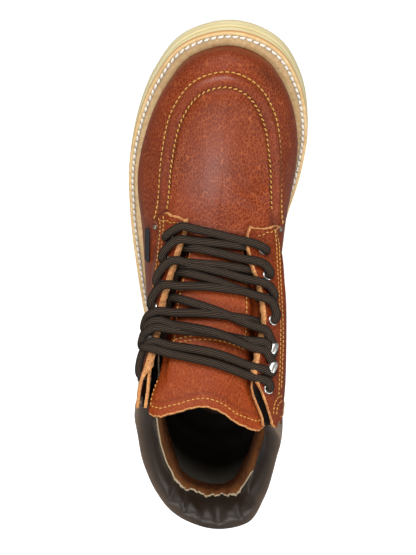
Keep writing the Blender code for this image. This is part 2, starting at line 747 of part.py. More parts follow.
def main():
    group, cutters = start_scene()
    looks = make_materials()
    make_sole(looks, group, cutters)
    make_upper(looks, group)
    make_eyestay("eyestay_lateral", False, looks, group)
    make_eyestay("eyestay_medial", True, looks, group)
    make_tongue(looks, group)
    make_collar(looks, group)
    make_lacing_metal(looks, group)
    make_lace(looks, group, cutters)


main()
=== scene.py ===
import math

import bmesh
import bpy
import numpy as np
from mathutils import Matrix


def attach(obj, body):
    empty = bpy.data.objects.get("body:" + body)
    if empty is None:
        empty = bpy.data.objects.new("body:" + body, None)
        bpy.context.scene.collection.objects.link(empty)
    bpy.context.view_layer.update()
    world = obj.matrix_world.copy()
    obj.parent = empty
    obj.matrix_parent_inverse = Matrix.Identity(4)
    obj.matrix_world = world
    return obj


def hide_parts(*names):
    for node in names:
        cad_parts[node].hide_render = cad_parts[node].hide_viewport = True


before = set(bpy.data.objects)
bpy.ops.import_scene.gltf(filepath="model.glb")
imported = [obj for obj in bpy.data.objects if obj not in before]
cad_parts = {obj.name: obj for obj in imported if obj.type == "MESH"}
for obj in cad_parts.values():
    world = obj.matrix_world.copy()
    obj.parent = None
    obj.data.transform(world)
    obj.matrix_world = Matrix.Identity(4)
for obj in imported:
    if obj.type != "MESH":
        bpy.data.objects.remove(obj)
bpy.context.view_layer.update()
print("solids loaded")

# The last: stations run from the toe (0) down the outer side to the back (10) and home up the inner side (20)
last = {
    "mm": 0.001, "length": 303.5, "stations": 20, "gap": 0.3, "belly": 14.0,
    "ridgeHalf": 5.2, "ridgeRise": 1.8, "ridgeEnd": 4.3, "ridgeFade": 0.6, "nudge": 0.03,
    # y, outer, inner, outer welt, inner welt
    "edge": [(293.5, 7, 7, 10, 10), (284.5, -18.4, 29.2, 9.5, 10.3), (262, -34, 43.4, 9, 9.7),
             (232, -44.6, 50, 9, 9.2), (200, -50, 48.5, 9, 8.2), (165, -49.5, 42.5, 8.8, 6),
             (125, -46, 37.5, 7.5, 4.5), (82, -40.5, 38, 6, 4.5), (45, -33.5, 38.5, 5, 5),
             (17, -17, 30, 5, 5), (5, 7.5, 7.5, 5, 5)],
    # swell, outer inset, inner inset, height, lean in degrees
    "side": [(1, 11, 11, 57.5, 45), (1.4, 10.1, 11.6, 57.5, 46), (1.8, 9.8, 11.5, 58.5, 48),
             (2, 13.9, 12, 63, 46), (2.2, 16.5, 9, 70, 40), (1.8, 10, 2.8, 73, 22), (1, 4.5, 0.2, 76, 8),
             (1.2, 0, -1, 77, 0), (2.2, -2, -2, 77, -4), (2.8, -2.5, -2.5, 77, -6),
             (2.8, -2.5, -2.5, 77, -6)],
    # y, outer, inner, height
    "throat": [(200, 3.5, 3.5, 88), (199.5, -5.5, 12.5, 87.5), (198.5, -12, 19, 87), (196, -17.5, 24.5, 86),
               (186, -28, 37, 88), (164, -37, 45.8, 94), (126, -40.5, 45.5, 99), (86, -39.5, 43.5, 102),
               (45, -33, 39.5, 103), (16, -16.5, 29.5, 104), (5.5, 7.5, 7.5, 104)],
    "shaft": [(165, 2.5, 2.5, 131), (164, -9, 13, 131), (161, -20, 23.5, 131), (156, -28.5, 34, 131),
              (147, -34.5, 42.8, 131), (126, -40, 49.2, 132), (99, -41, 49.8, 133), (69, -39, 47, 134),
              (40, -31.5, 40, 135), (20, -16.5, 29.5, 136), (12.5, 7.5, 7.5, 136)],
    # outer y, inner y, outer, inner, height
    "top": [(130, 130, 1, 1, 176), (129, 127, -11, 12, 176), (126, 121, -22, 22.5, 176),
            (120, 110, -33, 34.2, 176), (112, 102, -38.8, 42.2, 174), (97, 89, -41.5, 47.6, 169),
            (77, 70, -40.2, 46.4, 165), (55, 50, -36.6, 43.4, 163), (35.5, 31.5, -29.5, 38.6, 163),
            (18, 14.5, -16, 29.8, 165), (9.5, 9.5, 7.5, 7.5, 167)],
    # y, underside, top of the sole
    "sole": [(-20, 0, 40.5), (20, 0, 40.5), (60, 0, 39.5), (95, 1, 36.5), (130, 1, 32), (165, 0, 27),
             (200, 0, 24), (225, 0.3, 23.8), (255, 3, 25.5), (285, 8.5, 29), (325, 18, 36)],
}


def smoothStep(x, low, high):  # 0 below low, 1 above high, an S curve between
    t = np.clip((x - low) / (high - low), 0.0, 1.0)
    return t * t * (3 - 2 * t)


def bell(x, middle, width):  # 1 at the middle, falling away as exp of minus the squared distance in widths
    return np.exp(-((x - middle) / width) ** 2)


def unit(v):  # vectors scaled to length one
    return v / np.linalg.norm(v, axis=-1, keepdims=True)


def cubicBetween(before, start, end, after, s0, s1, s2, t):  # Hermite cubic, slopes weighed by spacings s
    leave = s1 * ((start - before) / s0 - (end - before) / (s0 + s1) + (end - start) / s1)
    arrive = s1 * ((end - start) / s1 - (after - start) / (s1 + s2) + (after - end) / s2)
    return (start * (2 * t**3 - 3 * t**2 + 1) + leave * (t**3 - 2 * t**2 + t)
            + end * (3 * t**2 - 2 * t**3) + arrive * (t**3 - t**2))


def spanRoot(rows, axis):  # square root of the distance between neighbouring rows
    return np.maximum(np.linalg.norm(np.diff(rows, axis=axis), axis=-1, keepdims=True), 1e-6) ** 0.5


def curveThrough(points, at):  # smooth curve through the rows, read at positions counted in rows
    points = np.asarray(points, float)
    rows = np.concatenate([2 * points[:1] - points[1:2], points, 2 * points[-1:] - points[-2:-1]])
    span = spanRoot(rows, 0)
    at = np.asarray(at, float)
    low = np.clip(np.floor(at).astype(int), 0, len(points) - 2)
    t = (at - low).reshape(at.shape + (1,) * (rows.ndim - 1))
    return cubicBetween(*(rows[low + k] for k in range(4)), *(span[low + k] for k in range(3)), t)


def roundLoop(loop, u):  # the same curve for a closed loop with one row a station
    return curveThrough(np.concatenate([loop[-2:], loop, loop[:3]]), np.mod(u, last["stations"]) + 2)


def closedLoop(outerY, innerY, outer, inner, height):  # a half table carried down one side and up the other
    outSide = np.stack([outer, outerY, height], axis=-1)
    inSide = np.stack([inner, innerY, height], axis=-1)
    return np.concatenate([outSide, inSide[-2:0:-1]])


def bothSides(outer, inner):  # half columns of values carried down one side and up the other
    return np.concatenate([outer, inner[-2:0:-1]])


def soleHeights(y):  # underside and top of the sole at y, from the side profile
    dense = curveThrough(last["sole"], np.linspace(0, len(last["sole"]) - 1, 400))
    return np.maximum(np.interp(y, dense[:, 0], dense[:, 1]), 0.0), np.interp(y, dense[:, 0], dense[:, 2])


edgeY, edgeOuter, edgeInner, weltOuter, weltInner = np.array(last["edge"], float).T
edgeLoop = closedLoop(edgeY, edgeY, edgeOuter, edgeInner, np.zeros(len(edgeY)))
weltLoop = bothSides(weltOuter, weltInner)


def planNormal(along):  # outward in plan, square to a run along the edge
    return unit(np.stack([along[..., 1], -along[..., 0], np.zeros(along.shape[:-1])], axis=-1))


def edgeAt(u, beyond):  # a point of the last's edge in plan, moved outward by beyond
    normal = planNormal(roundLoop(edgeLoop, u + last["nudge"]) - roundLoop(edgeLoop, u - last["nudge"]))
    return roundLoop(edgeLoop, u) + normal * np.broadcast_to(beyond, u.shape)[..., None]


def weltAt(u):  # how far the welt reaches past the edge
    return roundLoop(weltLoop[:, None], u)[..., 0]


def upperRails():  # seven closed rails: welt, belly, both edges of the moc seam, throat, mid shaft, top edge
    normal = planNormal(np.roll(edgeLoop, -1, axis=0) - np.roll(edgeLoop, 1, axis=0))
    up = np.array([0.0, 0.0, 1.0])
    edge = edgeLoop + up * (soleHeights(edgeLoop[:, 1])[1] + last["gap"])[:, None]
    swell, outerInset, innerInset, height, lean = np.array(last["side"], float).T
    ridge = edge - normal * bothSides(outerInset, innerInset)[:, None]
    ridge[:, 2] = bothSides(height, height)
    lean = np.radians(bothSides(lean, lean))[:, None]
    slope = last["ridgeHalf"] * (np.cos(lean) * up - np.sin(lean) * normal)
    belly = edge + normal * bothSides(swell, swell)[:, None] + up * last["belly"]
    throat, shaft = (closedLoop(t[0], t[0], t[1], t[2], t[3])
                     for t in (np.array(last[k], float).T for k in ("throat", "shaft")))
    top = closedLoop(*np.array(last["top"], float).T)
    return np.stack([edge, belly, ridge - slope, ridge + slope, throat, shaft, top], axis=1)


rails = upperRails()


def formAt(u, v):  # outer face of the upper at station u and rail v: a curve along u, then a curve along v
    columns = roundLoop(rails, u.ravel())
    rows = np.concatenate([2 * columns[:, :1] - columns[:, 1:2], columns,
                           2 * columns[:, -1:] - columns[:, -2:-1]], axis=1)
    span = spanRoot(rows, 1)
    flat = v.ravel()
    low = np.clip(np.floor(flat).astype(int), 0, rails.shape[1] - 2)
    pick = np.arange(len(flat))
    point = cubicBetween(*(rows[pick, low + k] for k in range(4)), *(span[pick, low + k] for k in range(3)),
                         (flat - low)[:, None])
    return point.reshape(u.shape + (3,))


def slopes(u, v):  # change of the form for one station and for one rail
    d = last["nudge"]
    return (formAt(u + d, v) - formAt(u - d, v)) / (2 * d), (formAt(u, v + d) - formAt(u, v - d)) / (2 * d)


def formNormal(u, v):  # cross product of the slopes along u and v
    return unit(np.cross(*slopes(u, v)))


def liftedAt(u, v, lift):  # the form moved outward along its normal
    u, v, lift = np.broadcast_arrays(np.asarray(u, float), np.asarray(v, float), np.asarray(lift, float))
    return formAt(u, v) + formNormal(u, v) * lift[..., None]


def foldedU(u):  # stations counted from the toe on either side
    u = np.mod(u, last["stations"])
    return np.minimum(u, last["stations"] - u)


def onInner(u):  # whether a station lies on the inner side
    return np.mod(u, last["stations"]) > last["stations"] / 2


def toWorld(points):  # metres from the middle of the sole
    return (np.asarray(points) - np.array([0.0, last["length"] / 2, 0.0])) * last["mm"]


# Meshes
def gridQuads(rows, cols, roundCols, roundRows=False, keep=None):
    # Row and column of each quad's corners, the same as point numbers, and which quads are kept
    i, j = np.meshgrid(np.arange(rows - (not roundRows)), np.arange(cols - (not roundCols)), indexing="ij")
    chosen = np.ones(i.shape, bool) if keep is None else keep
    i, j = i[chosen], j[chosen]
    corners = [(i, j), (i, j + 1), (i + 1, j + 1), (i + 1, j)]
    return corners, np.stack([(a % rows) * cols + b % cols for a, b in corners], axis=-1), chosen


def sheetMesh(name, points, finishes, roundCols=False, roundRows=False, keep=None, band=None, uv=None,
              fields=None):
    # Quads over a rows by columns grid; each quad's band picks its finish, uv is read at its own corners
    rows, cols = points.shape[:2]
    corners, quads, chosen = gridQuads(rows, cols, roundCols, roundRows, keep)
    used, quads = np.unique(quads, return_inverse=True)
    quads = quads.reshape(-1, 4)
    mesh = bpy.data.meshes.new(name)
    mesh.from_pydata(toWorld(points).reshape(-1, 3)[used].tolist(), [], quads.tolist())
    if band is not None:
        picked = np.broadcast_to(band, chosen.shape)[chosen]
        mesh.polygons.foreach_set("material_index", picked.astype(np.int32))
    if uv is not None:
        addUv(mesh, corners, uv, 1)
    for key, values in (fields or {}).items():
        field = mesh.attributes.new(key, "FLOAT", "POINT")
        spread = np.broadcast_to(values, (rows, cols)).ravel()[used]
        field.data.foreach_set("value", spread.astype(np.float32))
    return addPiece(name, mesh, finishes)


def manySheets(name, grids, finishes, uv=None):
    # The same grid of quads, round its columns, for each of many small shapes, as one mesh
    count, rows, cols = grids.shape[:3]
    corners, quads, _ = gridQuads(rows, cols, True)
    quads = (quads[None] + np.arange(count)[:, None, None] * rows * cols).reshape(-1, 4)
    mesh = bpy.data.meshes.new(name)
    mesh.from_pydata(toWorld(grids).reshape(-1, 3).tolist(), [], quads.tolist())
    if uv is not None:
        addUv(mesh, corners, uv, count)
    return addPiece(name, mesh, finishes)


def addUv(mesh, corners, uv, count):  # the grid's map at the corners of its quads, repeated for each shape
    one = np.stack([uv[a, b] for a, b in corners], axis=1)
    layer = mesh.uv_layers.new(name="uvMap")
    layer.data.foreach_set("uv", np.tile(one.ravel(), count).astype(np.float32))


def addPiece(name, mesh, finishes):  # a mesh with its finishes, as an object on the one body
    mesh.update()
    mesh.shade_smooth()
    for finish in finishes:
        mesh.materials.append(finish)
    piece = bpy.data.objects.new(name, mesh)
    bpy.context.scene.collection.objects.link(piece)
    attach(piece, "root")
    return piece


def joinPieces(name, pieces):  # several meshes made one
    for piece in bpy.context.selected_objects:
        piece.select_set(False)
    for piece in pieces:
        piece.select_set(True)
    bpy.context.view_layer.objects.active = pieces[0]
    bpy.ops.object.join()
    joined = pieces[0]
    joined.name = joined.data.name = name
    return joined


def mergeTouching(piece, distance=1e-6):  # points that meet made one, and faces turned outward
    work = bmesh.new()
    work.from_mesh(piece.data)
    bmesh.ops.remove_doubles(work, verts=work.verts, dist=distance)
    bmesh.ops.dissolve_degenerate(work, edges=work.edges, dist=distance)
    bmesh.ops.recalc_face_normals(work, faces=work.faces)
    work.to_mesh(piece.data)
    work.free()


def thicken(piece, thickness, rim, lining):  # wall towards the inside, with finishes for rim and lining
    wall = piece.modifiers.new("wall", "SOLIDIFY")
    wall.thickness = thickness * last["mm"]
    wall.offset = -1.0
    wall.use_quality_normals = True
    wall.material_offset_rim = rim
    wall.material_offset = lining


# Finishes
class Wire:
    # A socket whose arithmetic adds Math nodes to its tree
    def __init__(self, tree, socket):
        self.tree = tree
        self.socket = socket

    def math(self, operation, first, second=None):
        made = self.tree.nodes.new("ShaderNodeMath")
        made.operation = operation
        for slot, value in zip(made.inputs, (first, second)):
            if isinstance(value, Wire):
                self.tree.links.new(value.socket, slot)
            elif value is not None:
                slot.default_value = value
        return Wire(self.tree, made.outputs[0])

    def __add__(self, other):
        return self.math("ADD", self, other)

    def __sub__(self, other):
        return self.math("SUBTRACT", self, other)

    def __rsub__(self, other):
        return self.math("SUBTRACT", other, self)

    def __mul__(self, other):
        return self.math("MULTIPLY", self, other)

    __radd__ = __add__
    __rmul__ = __mul__


def tint(red, green, blue):  # a screen colour from 0 to 255 as linear light
    share = np.array([red, green, blue]) / 255
    light = np.where(share <= 0.04045, share / 12.92, ((share + 0.055) / 1.055) ** 2.4)
    return (*light.tolist(), 1.0)


class Graph:
    # One node tree: node() adds any node from its type, settings and sockets
    def __init__(self, tree):
        self.tree = tree

    def node(self, kind, settings=None, sockets=None, out=0):
        made = self.tree.nodes.new("ShaderNode" + kind)
        for key, value in (settings or {}).items():
            setattr(made, key, value)
        for key, value in (sockets or {}).items():
            self.feed(made.inputs[key], value)
        return Wire(self.tree, made.outputs[out])

    def feed(self, socket, value):
        if isinstance(value, Wire):
            self.tree.links.new(value.socket, socket)
        else:
            socket.default_value = value


class Finish(Graph):
    # One material on object coordinates, with the textures that the finishes share
    def __init__(self, name, **constants):
        self.material = bpy.data.materials.new(name)
        self.material.use_nodes = True
        super().__init__(self.material.node_tree)
        self.shader = self.tree.nodes["Principled BSDF"]
        for key, value in constants.items():
            self.shader.inputs[key.replace("_", " ")].default_value = value
        self.place = self.node("TexCoord", out="Object")

    def mix(self, share, first, second):  # first colour to second by share
        return self.node("Mix", {"data_type": "RGBA"}, {0: share, 6: first, 7: second}, 2)

    def step(self, value, low, high):  # 0 below low, 1 above high, an S curve between
        return self.node("MapRange", {"interpolation_type": "SMOOTHSTEP"},
                         {"Value": value, "From Min": low, "From Max": high})

    def sine(self, value):
        return self.node("Math", {"operation": "SINE"}, {0: value})

    def noise(self, scale, detail=3.0, rough=0.55, at=None):
        return self.node("TexNoise", None, {"Vector": at or self.place, "Scale": scale, "Detail": detail,
                                            "Roughness": rough})

    def cells(self, scale, at=None):  # distance to the nearest edge between cells
        return self.node("TexVoronoi", {"feature": "DISTANCE_TO_EDGE"},
                         {"Vector": at or self.place, "Scale": scale})

    def stretched(self, x, y, z):  # object coordinates scaled along each axis
        return self.node("Mapping", None, {"Vector": self.place, "Scale": (x, y, z)})

    def wandering(self, scale, amount, at=None):  # coordinates pushed about by noise, for uneven cells
        push = {"Vector": at or self.place, "Scale": scale, "Detail": 1.0}
        push = self.node("TexNoise", None, push, "Color")
        push = self.node("VectorMath", {"operation": "SUBTRACT"}, {0: push, 1: (0.5, 0.5, 0.5)})
        push = self.node("VectorMath", {"operation": "SCALE"}, {0: push, "Scale": amount})
        return self.node("VectorMath", {"operation": "ADD"}, {0: at or self.place, 1: push})

    def along(self, axis):  # one object coordinate
        return self.node("SeparateXYZ", None, {0: self.place}, axis)

    def field(self, name):  # a value stored on the mesh
        return self.node("Attribute", {"attribute_name": name}, out="Fac")

    def uv(self):  # girth and length from the piece's own map
        place = self.node("UVMap", {"uv_map": "uvMap"})
        return [self.node("SeparateXYZ", None, {0: place}, axis) for axis in ("X", "Y")]

    def dress(self, colour, roughness, height=None, strength=0.4, depth=0.0004):  # feeds the shader
        self.feed(self.shader.inputs["Base Color"], colour)
        self.feed(self.shader.inputs["Roughness"], roughness)
        if height is not None:
            bumped = self.node("Bump", None, {"Strength": strength, "Distance": depth, "Height": height})
            self.feed(self.shader.inputs["Normal"], bumped)
        return self.material


def bootLeather(name, deep, mid, vein, cellScale, veinShare, roughness, shine, stretch):
    # Pebbled leather: dark rounded cells parted by paler creases, mottled by slow noise
    f = Finish(name, Specular_IOR_Level=shine, Coat_Roughness=0.46)
    f.feed(f.shader.inputs["Coat Weight"], f.field("polish"))
    place = f.wandering(200.0, 0.0018, f.stretched(*stretch))
    edge = f.cells(cellScale, place)
    fine = f.cells(cellScale * 2.1, place)
    slow = f.noise(24.0, 4.0, 0.6)
    patch = f.noise(110.0, 3.0)
    crease = 1 - f.step(edge, 0.0, 0.11)
    fineCrease = 1 - f.step(fine, 0.0, 0.16)
    base = f.mix(f.step(slow, 0.32, 0.7), deep, mid)
    pale = crease * (0.7 + 0.3 * f.step(patch, 0.35, 0.62)) + fineCrease * 0.25
    colour = f.mix(pale * veinShare * f.field("grain"), base, vein)
    # Painted shade along the stitch rows and where the leather meets the welt
    colour = f.mix(f.field("seamShade"), colour, tint(62, 22, 10))
    # A dark smudge low on the toe's side, and a faint darker band across the front of the plug
    colour = f.mix(f.field("smudgeAndDarkBand"), colour, tint(70, 38, 22))
    # Painted shade, near black, where the flaps' top corners part
    colour = f.mix(f.field("gap"), colour, tint(22, 18, 15))
    height = f.step(edge, 0.0, 0.25) * 0.8 + f.step(fine, 0.0, 0.22) * 0.2 + f.noise(2600.0, 2.0) * 0.12
    return f.dress(colour, roughness + 0.1 * crease + 0.2 * (slow - 0.5), height, 0.4, 0.0004)


def rawEdge():
    # Cut leather: tan fibres with darker pits
    f = Finish("rawEdge")
    fibre = f.noise(900.0, 5.0, 0.7)
    pit = f.noise(260.0, 3.0, 0.6)
    colour = f.mix(f.step(fibre, 0.3, 0.7), tint(178, 106, 56), tint(236, 174, 110))
    colour = f.mix(f.step(pit, 0.55, 0.75) * 0.6, colour, tint(120, 62, 30))
    return f.dress(colour, 0.85, fibre + pit * 0.8, 0.8, 0.0005)


def darkLining():
    # Matt black lining cloth with a fine even weave, greyer round the heel
    f = Finish("darkLining")
    weave = f.node("TexWave", {"wave_type": "BANDS", "bands_direction": "DIAGONAL"},
                   {"Vector": f.place, "Scale": 420.0, "Distortion": 0.6})
    colour = f.mix(f.noise(60.0), tint(28, 23, 18), tint(46, 39, 32))
    heel = f.step(f.along("Z"), 0.095, 0.13) * f.step(f.along("Y"), -0.04, -0.1)
    colour = f.mix(heel, colour, tint(172, 174, 160))
    return f.dress(colour, 0.9, weave + f.noise(900.0) * 0.4, 0.25, 0.0003)


def suedeLining(name, deep, pale):
    # Brown split leather with a short nap, paler where it is rubbed
    f = Finish(name)
    nap = f.noise(420.0, 5.0, 0.7)
    slow = f.noise(70.0, 3.0)
    colour = f.mix(f.step(slow * 0.6 + nap * 0.4, 0.3, 0.7), deep, pale)
    return f.dress(colour, 0.92, nap, 0.6, 0.0005)


def paleCut():
    # Cream cut edge of the split leather, frayed
    f = Finish("paleCut")
    nap = f.noise(800.0, 5.0, 0.7)
    colour = f.mix(f.step(nap, 0.3, 0.7), tint(168, 142, 108), tint(222, 204, 172))
    return f.dress(colour, 0.92, nap, 0.7, 0.0005)


def collarLeather():
    # Thin satin leather: fine even grain, dark brown, darker where it turns into the boot
    f = Finish("collarLeather", Specular_IOR_Level=0.4, Sheen_Weight=0.1, Sheen_Roughness=0.4)
    grain = f.cells(1150.0, f.wandering(500.0, 0.0006))
    slow = f.noise(38.0, 3.0)
    colour = f.mix(f.step(slow, 0.3, 0.7), tint(120, 98, 80), tint(148, 126, 106))
    colour = f.mix((1 - f.step(grain, 0.0, 0.12)) * 0.5, colour, tint(46, 34, 26))
    colour = f.mix(f.field("shade"), colour, tint(27, 16, 10))
    rough = 0.42 + 0.14 * (slow - 0.5) - 0.08 * f.field("shade")
    return f.dress(colour, rough, f.step(grain, 0.0, 0.3) + f.noise(300.0) * 0.5, 0.2, 0.0003)


def weltLeather():
    # Tan strip: long fibres, a greyed groove beside the thread, warmer on its cut edge
    f = Finish("weltLeather")
    fibre = f.noise(340.0, 4.0, 0.65)
    slow = f.noise(45.0, 3.0)
    colour = f.mix(f.step(fibre, 0.3, 0.7), tint(222, 182, 126), tint(242, 212, 160))
    colour = f.mix(f.step(slow, 0.5, 0.75) * 0.4, colour, tint(188, 142, 86))
    greyed = f.field("groove") * (0.35 + 0.65 * f.step(slow, 0.35, 0.6))
    colour = f.mix(greyed, colour, tint(186, 164, 128))
    colour = f.mix(f.field("cutEdge"), colour, tint(220, 168, 108))
    return f.dress(colour, 0.6 + 0.1 * fibre, fibre, 0.25, 0.0003)


def soleRubber():
    # Cream blown rubber: fine pores, and thin shadow lines between its layers
    f = Finish("soleRubber")
    pore = f.noise(1500.0, 3.0, 0.7)
    slow = f.noise(22.0, 3.0)
    layer = f.noise(9.0, 2.0, 0.5, f.stretched(1.0, 1.0, 30.0))
    cast = f.step(slow * 0.5 + layer * 0.5, 0.35, 0.65)
    colour = f.mix(cast, tint(232, 213, 156), tint(244, 230, 182))
    line = f.sine(f.field("layer") * 31.4)
    colour = f.mix(f.step(line, 0.55, 0.95) * 0.09, colour, tint(206, 180, 118))
    colour = f.mix(f.step(pore, 0.62, 0.75) * 0.25, colour, tint(206, 178, 112))
    return f.dress(colour, 0.58 + 0.14 * pore, pore + layer * 0.5, 0.2, 0.0003)


def sewnThread(name, dark, pale):
    # Waxed thread: two plies twisted, read from the stitch's own length and girth
    f = Finish(name)
    girth, length = f.uv()
    twist = f.sine((girth + length * 1.2) * 12.566)
    colour = f.mix(f.step(twist, -0.6, 0.6), dark, pale)
    colour = f.mix(f.step(f.noise(140.0, 2.0), 0.5, 0.75) * 0.4, colour, dark)
    return f.dress(colour, 0.55, twist, 0.5, 0.0002)


def braidedLace():
    # Round braid: crossing strands from two opposed spirals, with ribs along the length
    f = Finish("braidedLace", Specular_IOR_Level=0.14)
    girth, length = f.uv()
    right = f.sine((girth * 8.0 + length * 2.4) * 6.2832)
    left = f.sine((girth * 8.0 - length * 2.4) * 6.2832)
    rib = f.sine(girth * 16.0 * 6.2832)
    strand = f.node("Math", {"operation": "MAXIMUM"}, {0: right, 1: left}) * 0.08 + rib
    fuzz = f.noise(1700.0, 3.0, 0.7)
    colour = f.mix(f.step(strand + fuzz * 0.5, -0.4, 1.3), tint(17, 13, 10), tint(86, 72, 60))
    # Painted shade on the side of the cord turned away from the light
    colour = f.mix(f.field("under") * 0.85, colour, tint(9, 6, 5))
    return f.dress(colour, 0.72, strand + fuzz * 0.5, 0.55, 0.0005)


def platedMetal(name, dull, bright, roughness):
    # Plated metal with faint rubbing
    f = Finish(name, Metallic=1.0)
    rub = f.noise(420.0, 4.0)
    return f.dress(f.mix(rub, dull, bright), roughness + 0.2 * rub, rub, 0.06, 0.0002)


def wovenTab():
    # Plain black woven tape
    f = Finish("wovenTab")
    weave = f.node("TexWave", {"bands_direction": "Z"},
                   {"Vector": f.place, "Scale": 520.0, "Distortion": 0.3})
    return f.dress(f.mix(weave, tint(18, 18, 20), tint(44, 44, 48)), 0.7, weave, 0.4, 0.0003)


upperFinish = bootLeather("bootLeather", tint(104, 34, 11), tint(126, 45, 14), tint(200, 110, 62),
                          640.0, 0.6, 0.34, 0.17, (1.0, 0.5, 0.7))
tongueFinish = bootLeather("tongueLeather", tint(128, 45, 13), tint(148, 58, 18), tint(200, 110, 56),
                           720.0, 0.5, 0.38, 0.17, (1.0, 0.45, 0.45))
edgeFinish = rawEdge()
liningFinish = darkLining()
suedeFinish = suedeLining("suedeLining", tint(98, 50, 18), tint(184, 114, 56))
bedFinish = suedeLining("footbedLeather", tint(44, 26, 15), tint(70, 42, 24))
cutFinish = paleCut()
collarFinish = collarLeather()
weltFinish = weltLeather()
soleFinish = soleRubber()
goldThread = sewnThread("goldThread", tint(200, 136, 50), tint(240, 192, 104))
ivoryThread = sewnThread("ivoryThread", tint(232, 226, 210), tint(254, 252, 246))
laceFinish = braidedLace()
nickelFinish = platedMetal("nickelPlate", tint(190, 187, 180), tint(232, 230, 225), 0.22)
rivetFinish = platedMetal("rivetMetal", tint(120, 112, 100), tint(168, 160, 146), 0.35)
tabFinish = wovenTab()
print("finishes made")


# Sole: one edge curve, with each layer a profile carried round it
sole = {"weltThickness": 3.5, "midsole": 6.0, "weltUnder": 8.0, "treadRound": 1.5, "round": 0.8, "step": 0.3,
        "cuts": 40, "treadY": (22, 36, 50, 64, 176, 190, 204, 218, 232, 246, 260), "treadWidth": 4.0,
        "treadDepth": 2.5, "treadMargin": 9.0, "stitchIn": 3.0, "groove": 0.7, "insole": 3.5, "insoleIn": 2.8,
        "footUnder": 8.3}
soleU = np.arange(last["stations"] * sole["cuts"]) / sole["cuts"]
soleWelt = weltAt(soleU)


def soleRing(beyond, height):  # the edge curve moved outward, at a height given for each y
    ring = edgeAt(soleU, beyond)
    ring[:, 2] = height(ring[:, 1])
    return ring


def underside(y):  # height of the tread
    return soleHeights(y)[0]


def soleTop(y):  # height of the welt's top
    return soleHeights(y)[1]


def weltFoot(y):  # the welt's thickness below its top
    return soleTop(y) - sole["weltThickness"]


def midsoleTop(y):  # just under the welt
    return weltFoot(y) - 0.05


def midsoleFoot(y):  # the midsole's thickness lower
    return weltFoot(y) - last["gap"] - sole["midsole"]


def outsoleTop(y):  # just under the midsole
    return midsoleFoot(y) - 0.1


def ladderOf(ring, columns):  # straight rungs from the outer side to the inner side
    half = len(ring) // 2
    near, far = ring[:half + 1], np.concatenate([ring[:1], ring[:half - 1:-1]])
    share = np.linspace(0, 1, columns)[None, :, None]
    return near[:, None] * (1 - share) + far[:, None] * share


def treadPlate(ring):  # the underside, with bars cut across it that stop short of the edge
    plate = ladderOf(ring, 41)
    x, y = plate[..., 0], plate[..., 1]
    nearEdge = np.minimum(x - x[:, :1], x[:, -1:] - x)
    reach, margin = sole["treadWidth"] / 2 + 0.3, sole["treadMargin"]
    bars = np.sum([smoothStep(reach - np.abs(y - bar), 0.0, 0.6) for bar in sole["treadY"]], axis=0)
    cut = sole["treadDepth"] * bars * smoothStep(nearEdge, margin - 0.5, margin + 0.5)
    inner = smoothStep(nearEdge, 0.0, 0.5)
    plate[..., 2] = np.where(nearEdge > 0.01, underside(y), plate[..., 2]) + cut * inner
    return plate


def closedLayer(name, rings, bottom, top, finish, node):
    # A wall of rings closed by a plate below and a plate above
    layer = np.linspace(0, 1, len(rings))[:, None]
    wall = sheetMesh(name, np.array(rings), [finish], roundCols=True, fields={"layer": layer})
    low = sheetMesh(name + "Low", bottom, [finish])
    high = sheetMesh(name + "High", top, [finish])
    piece = joinPieces(name, [wall, low, high])
    mergeTouching(piece)
    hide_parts(node)


def layerRings(lines, start=0.0):  # one ring for each pair of outward step and height
    return [soleRing(soleWelt + start + beyond, height) for beyond, height in lines]


def makeOutsole():
    # A wall that rounds out of the tread, with faint waves from the blown layers
    lines = [(-sole["treadRound"], underside),
             (-0.45, lambda y: underside(y) + 0.4),
             (0.0, lambda y: underside(y) + sole["treadRound"])]
    for share in np.linspace(0.1, 0.9, 9):
        sag = 0.12 * math.sin(share * 9)
        lines.append((sag, lambda y, share=share: underside(y) * (1 - share) + outsoleTop(y) * share))
    lines += [(0.0, lambda y: outsoleTop(y) - sole["round"]),
              (-0.25, lambda y: outsoleTop(y) - 0.25),
              (-sole["round"], outsoleTop)]
    rings = layerRings(lines)
    closedLayer("bootOutsole", rings, treadPlate(rings[0]), ladderOf(rings[-1], 3),
                soleFinish, "outsole")


def makeMidsole():
    # A thin layer with rounded edges and a slight swell between them
    step, curl = sole["step"], sole["round"]
    lines = [(-step - curl, midsoleFoot), (-step - 0.25, lambda y: midsoleFoot(y) + 0.25),
             (-step, lambda y: midsoleFoot(y) + curl),
             (-step + 0.15, lambda y: (midsoleFoot(y) + midsoleTop(y)) / 2),
             (-step, lambda y: midsoleTop(y) - curl), (-step - 0.25, lambda y: midsoleTop(y) - 0.25),
             (-step - curl, midsoleTop)]
    rings = layerRings(lines)
    closedLayer("bootMidsole", rings, ladderOf(rings[0], 3), ladderOf(rings[-1], 3),
                soleFinish, "midsole")


def makeWelt():
    # A flat strip whose top has a shallow groove for the thread
    across = np.concatenate([np.linspace(0.9, sole["stitchIn"] - 1.2, 4),
                             np.linspace(sole["stitchIn"] - 0.9, sole["stitchIn"] + 0.9, 9), [5.0, 7.0, 9.0]])
    lines = [(0.0, weltFoot), (0.15, lambda y: soleTop(y) - 1.9), (0.0, lambda y: soleTop(y) - 0.8),
             (-0.3, lambda y: soleTop(y) - 0.25)]
    for inward in across:
        dip = sole["groove"] * float(bell(inward, sole["stitchIn"], 0.7))
        lines.append((-inward, lambda y, dip=dip: soleTop(y) - dip))
    rings = layerRings(lines, -sole["step"])
    rings.append(soleRing(-sole["weltUnder"], soleTop))
    rings.append(soleRing(-sole["weltUnder"], weltFoot))
    groove = np.zeros((len(rings), 1))
    groove[4:-2, 0] = bell(across, sole["stitchIn"] + 0.5, 1.5)
    cutEdge = np.zeros((len(rings), 1))
    cutEdge[:3] = 1.0
    welt = sheetMesh("bootWelt", np.array(rings), [weltFinish], roundCols=True, roundRows=True,
                     fields={"groove": groove, "cutEdge": cutEdge})
    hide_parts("welt")


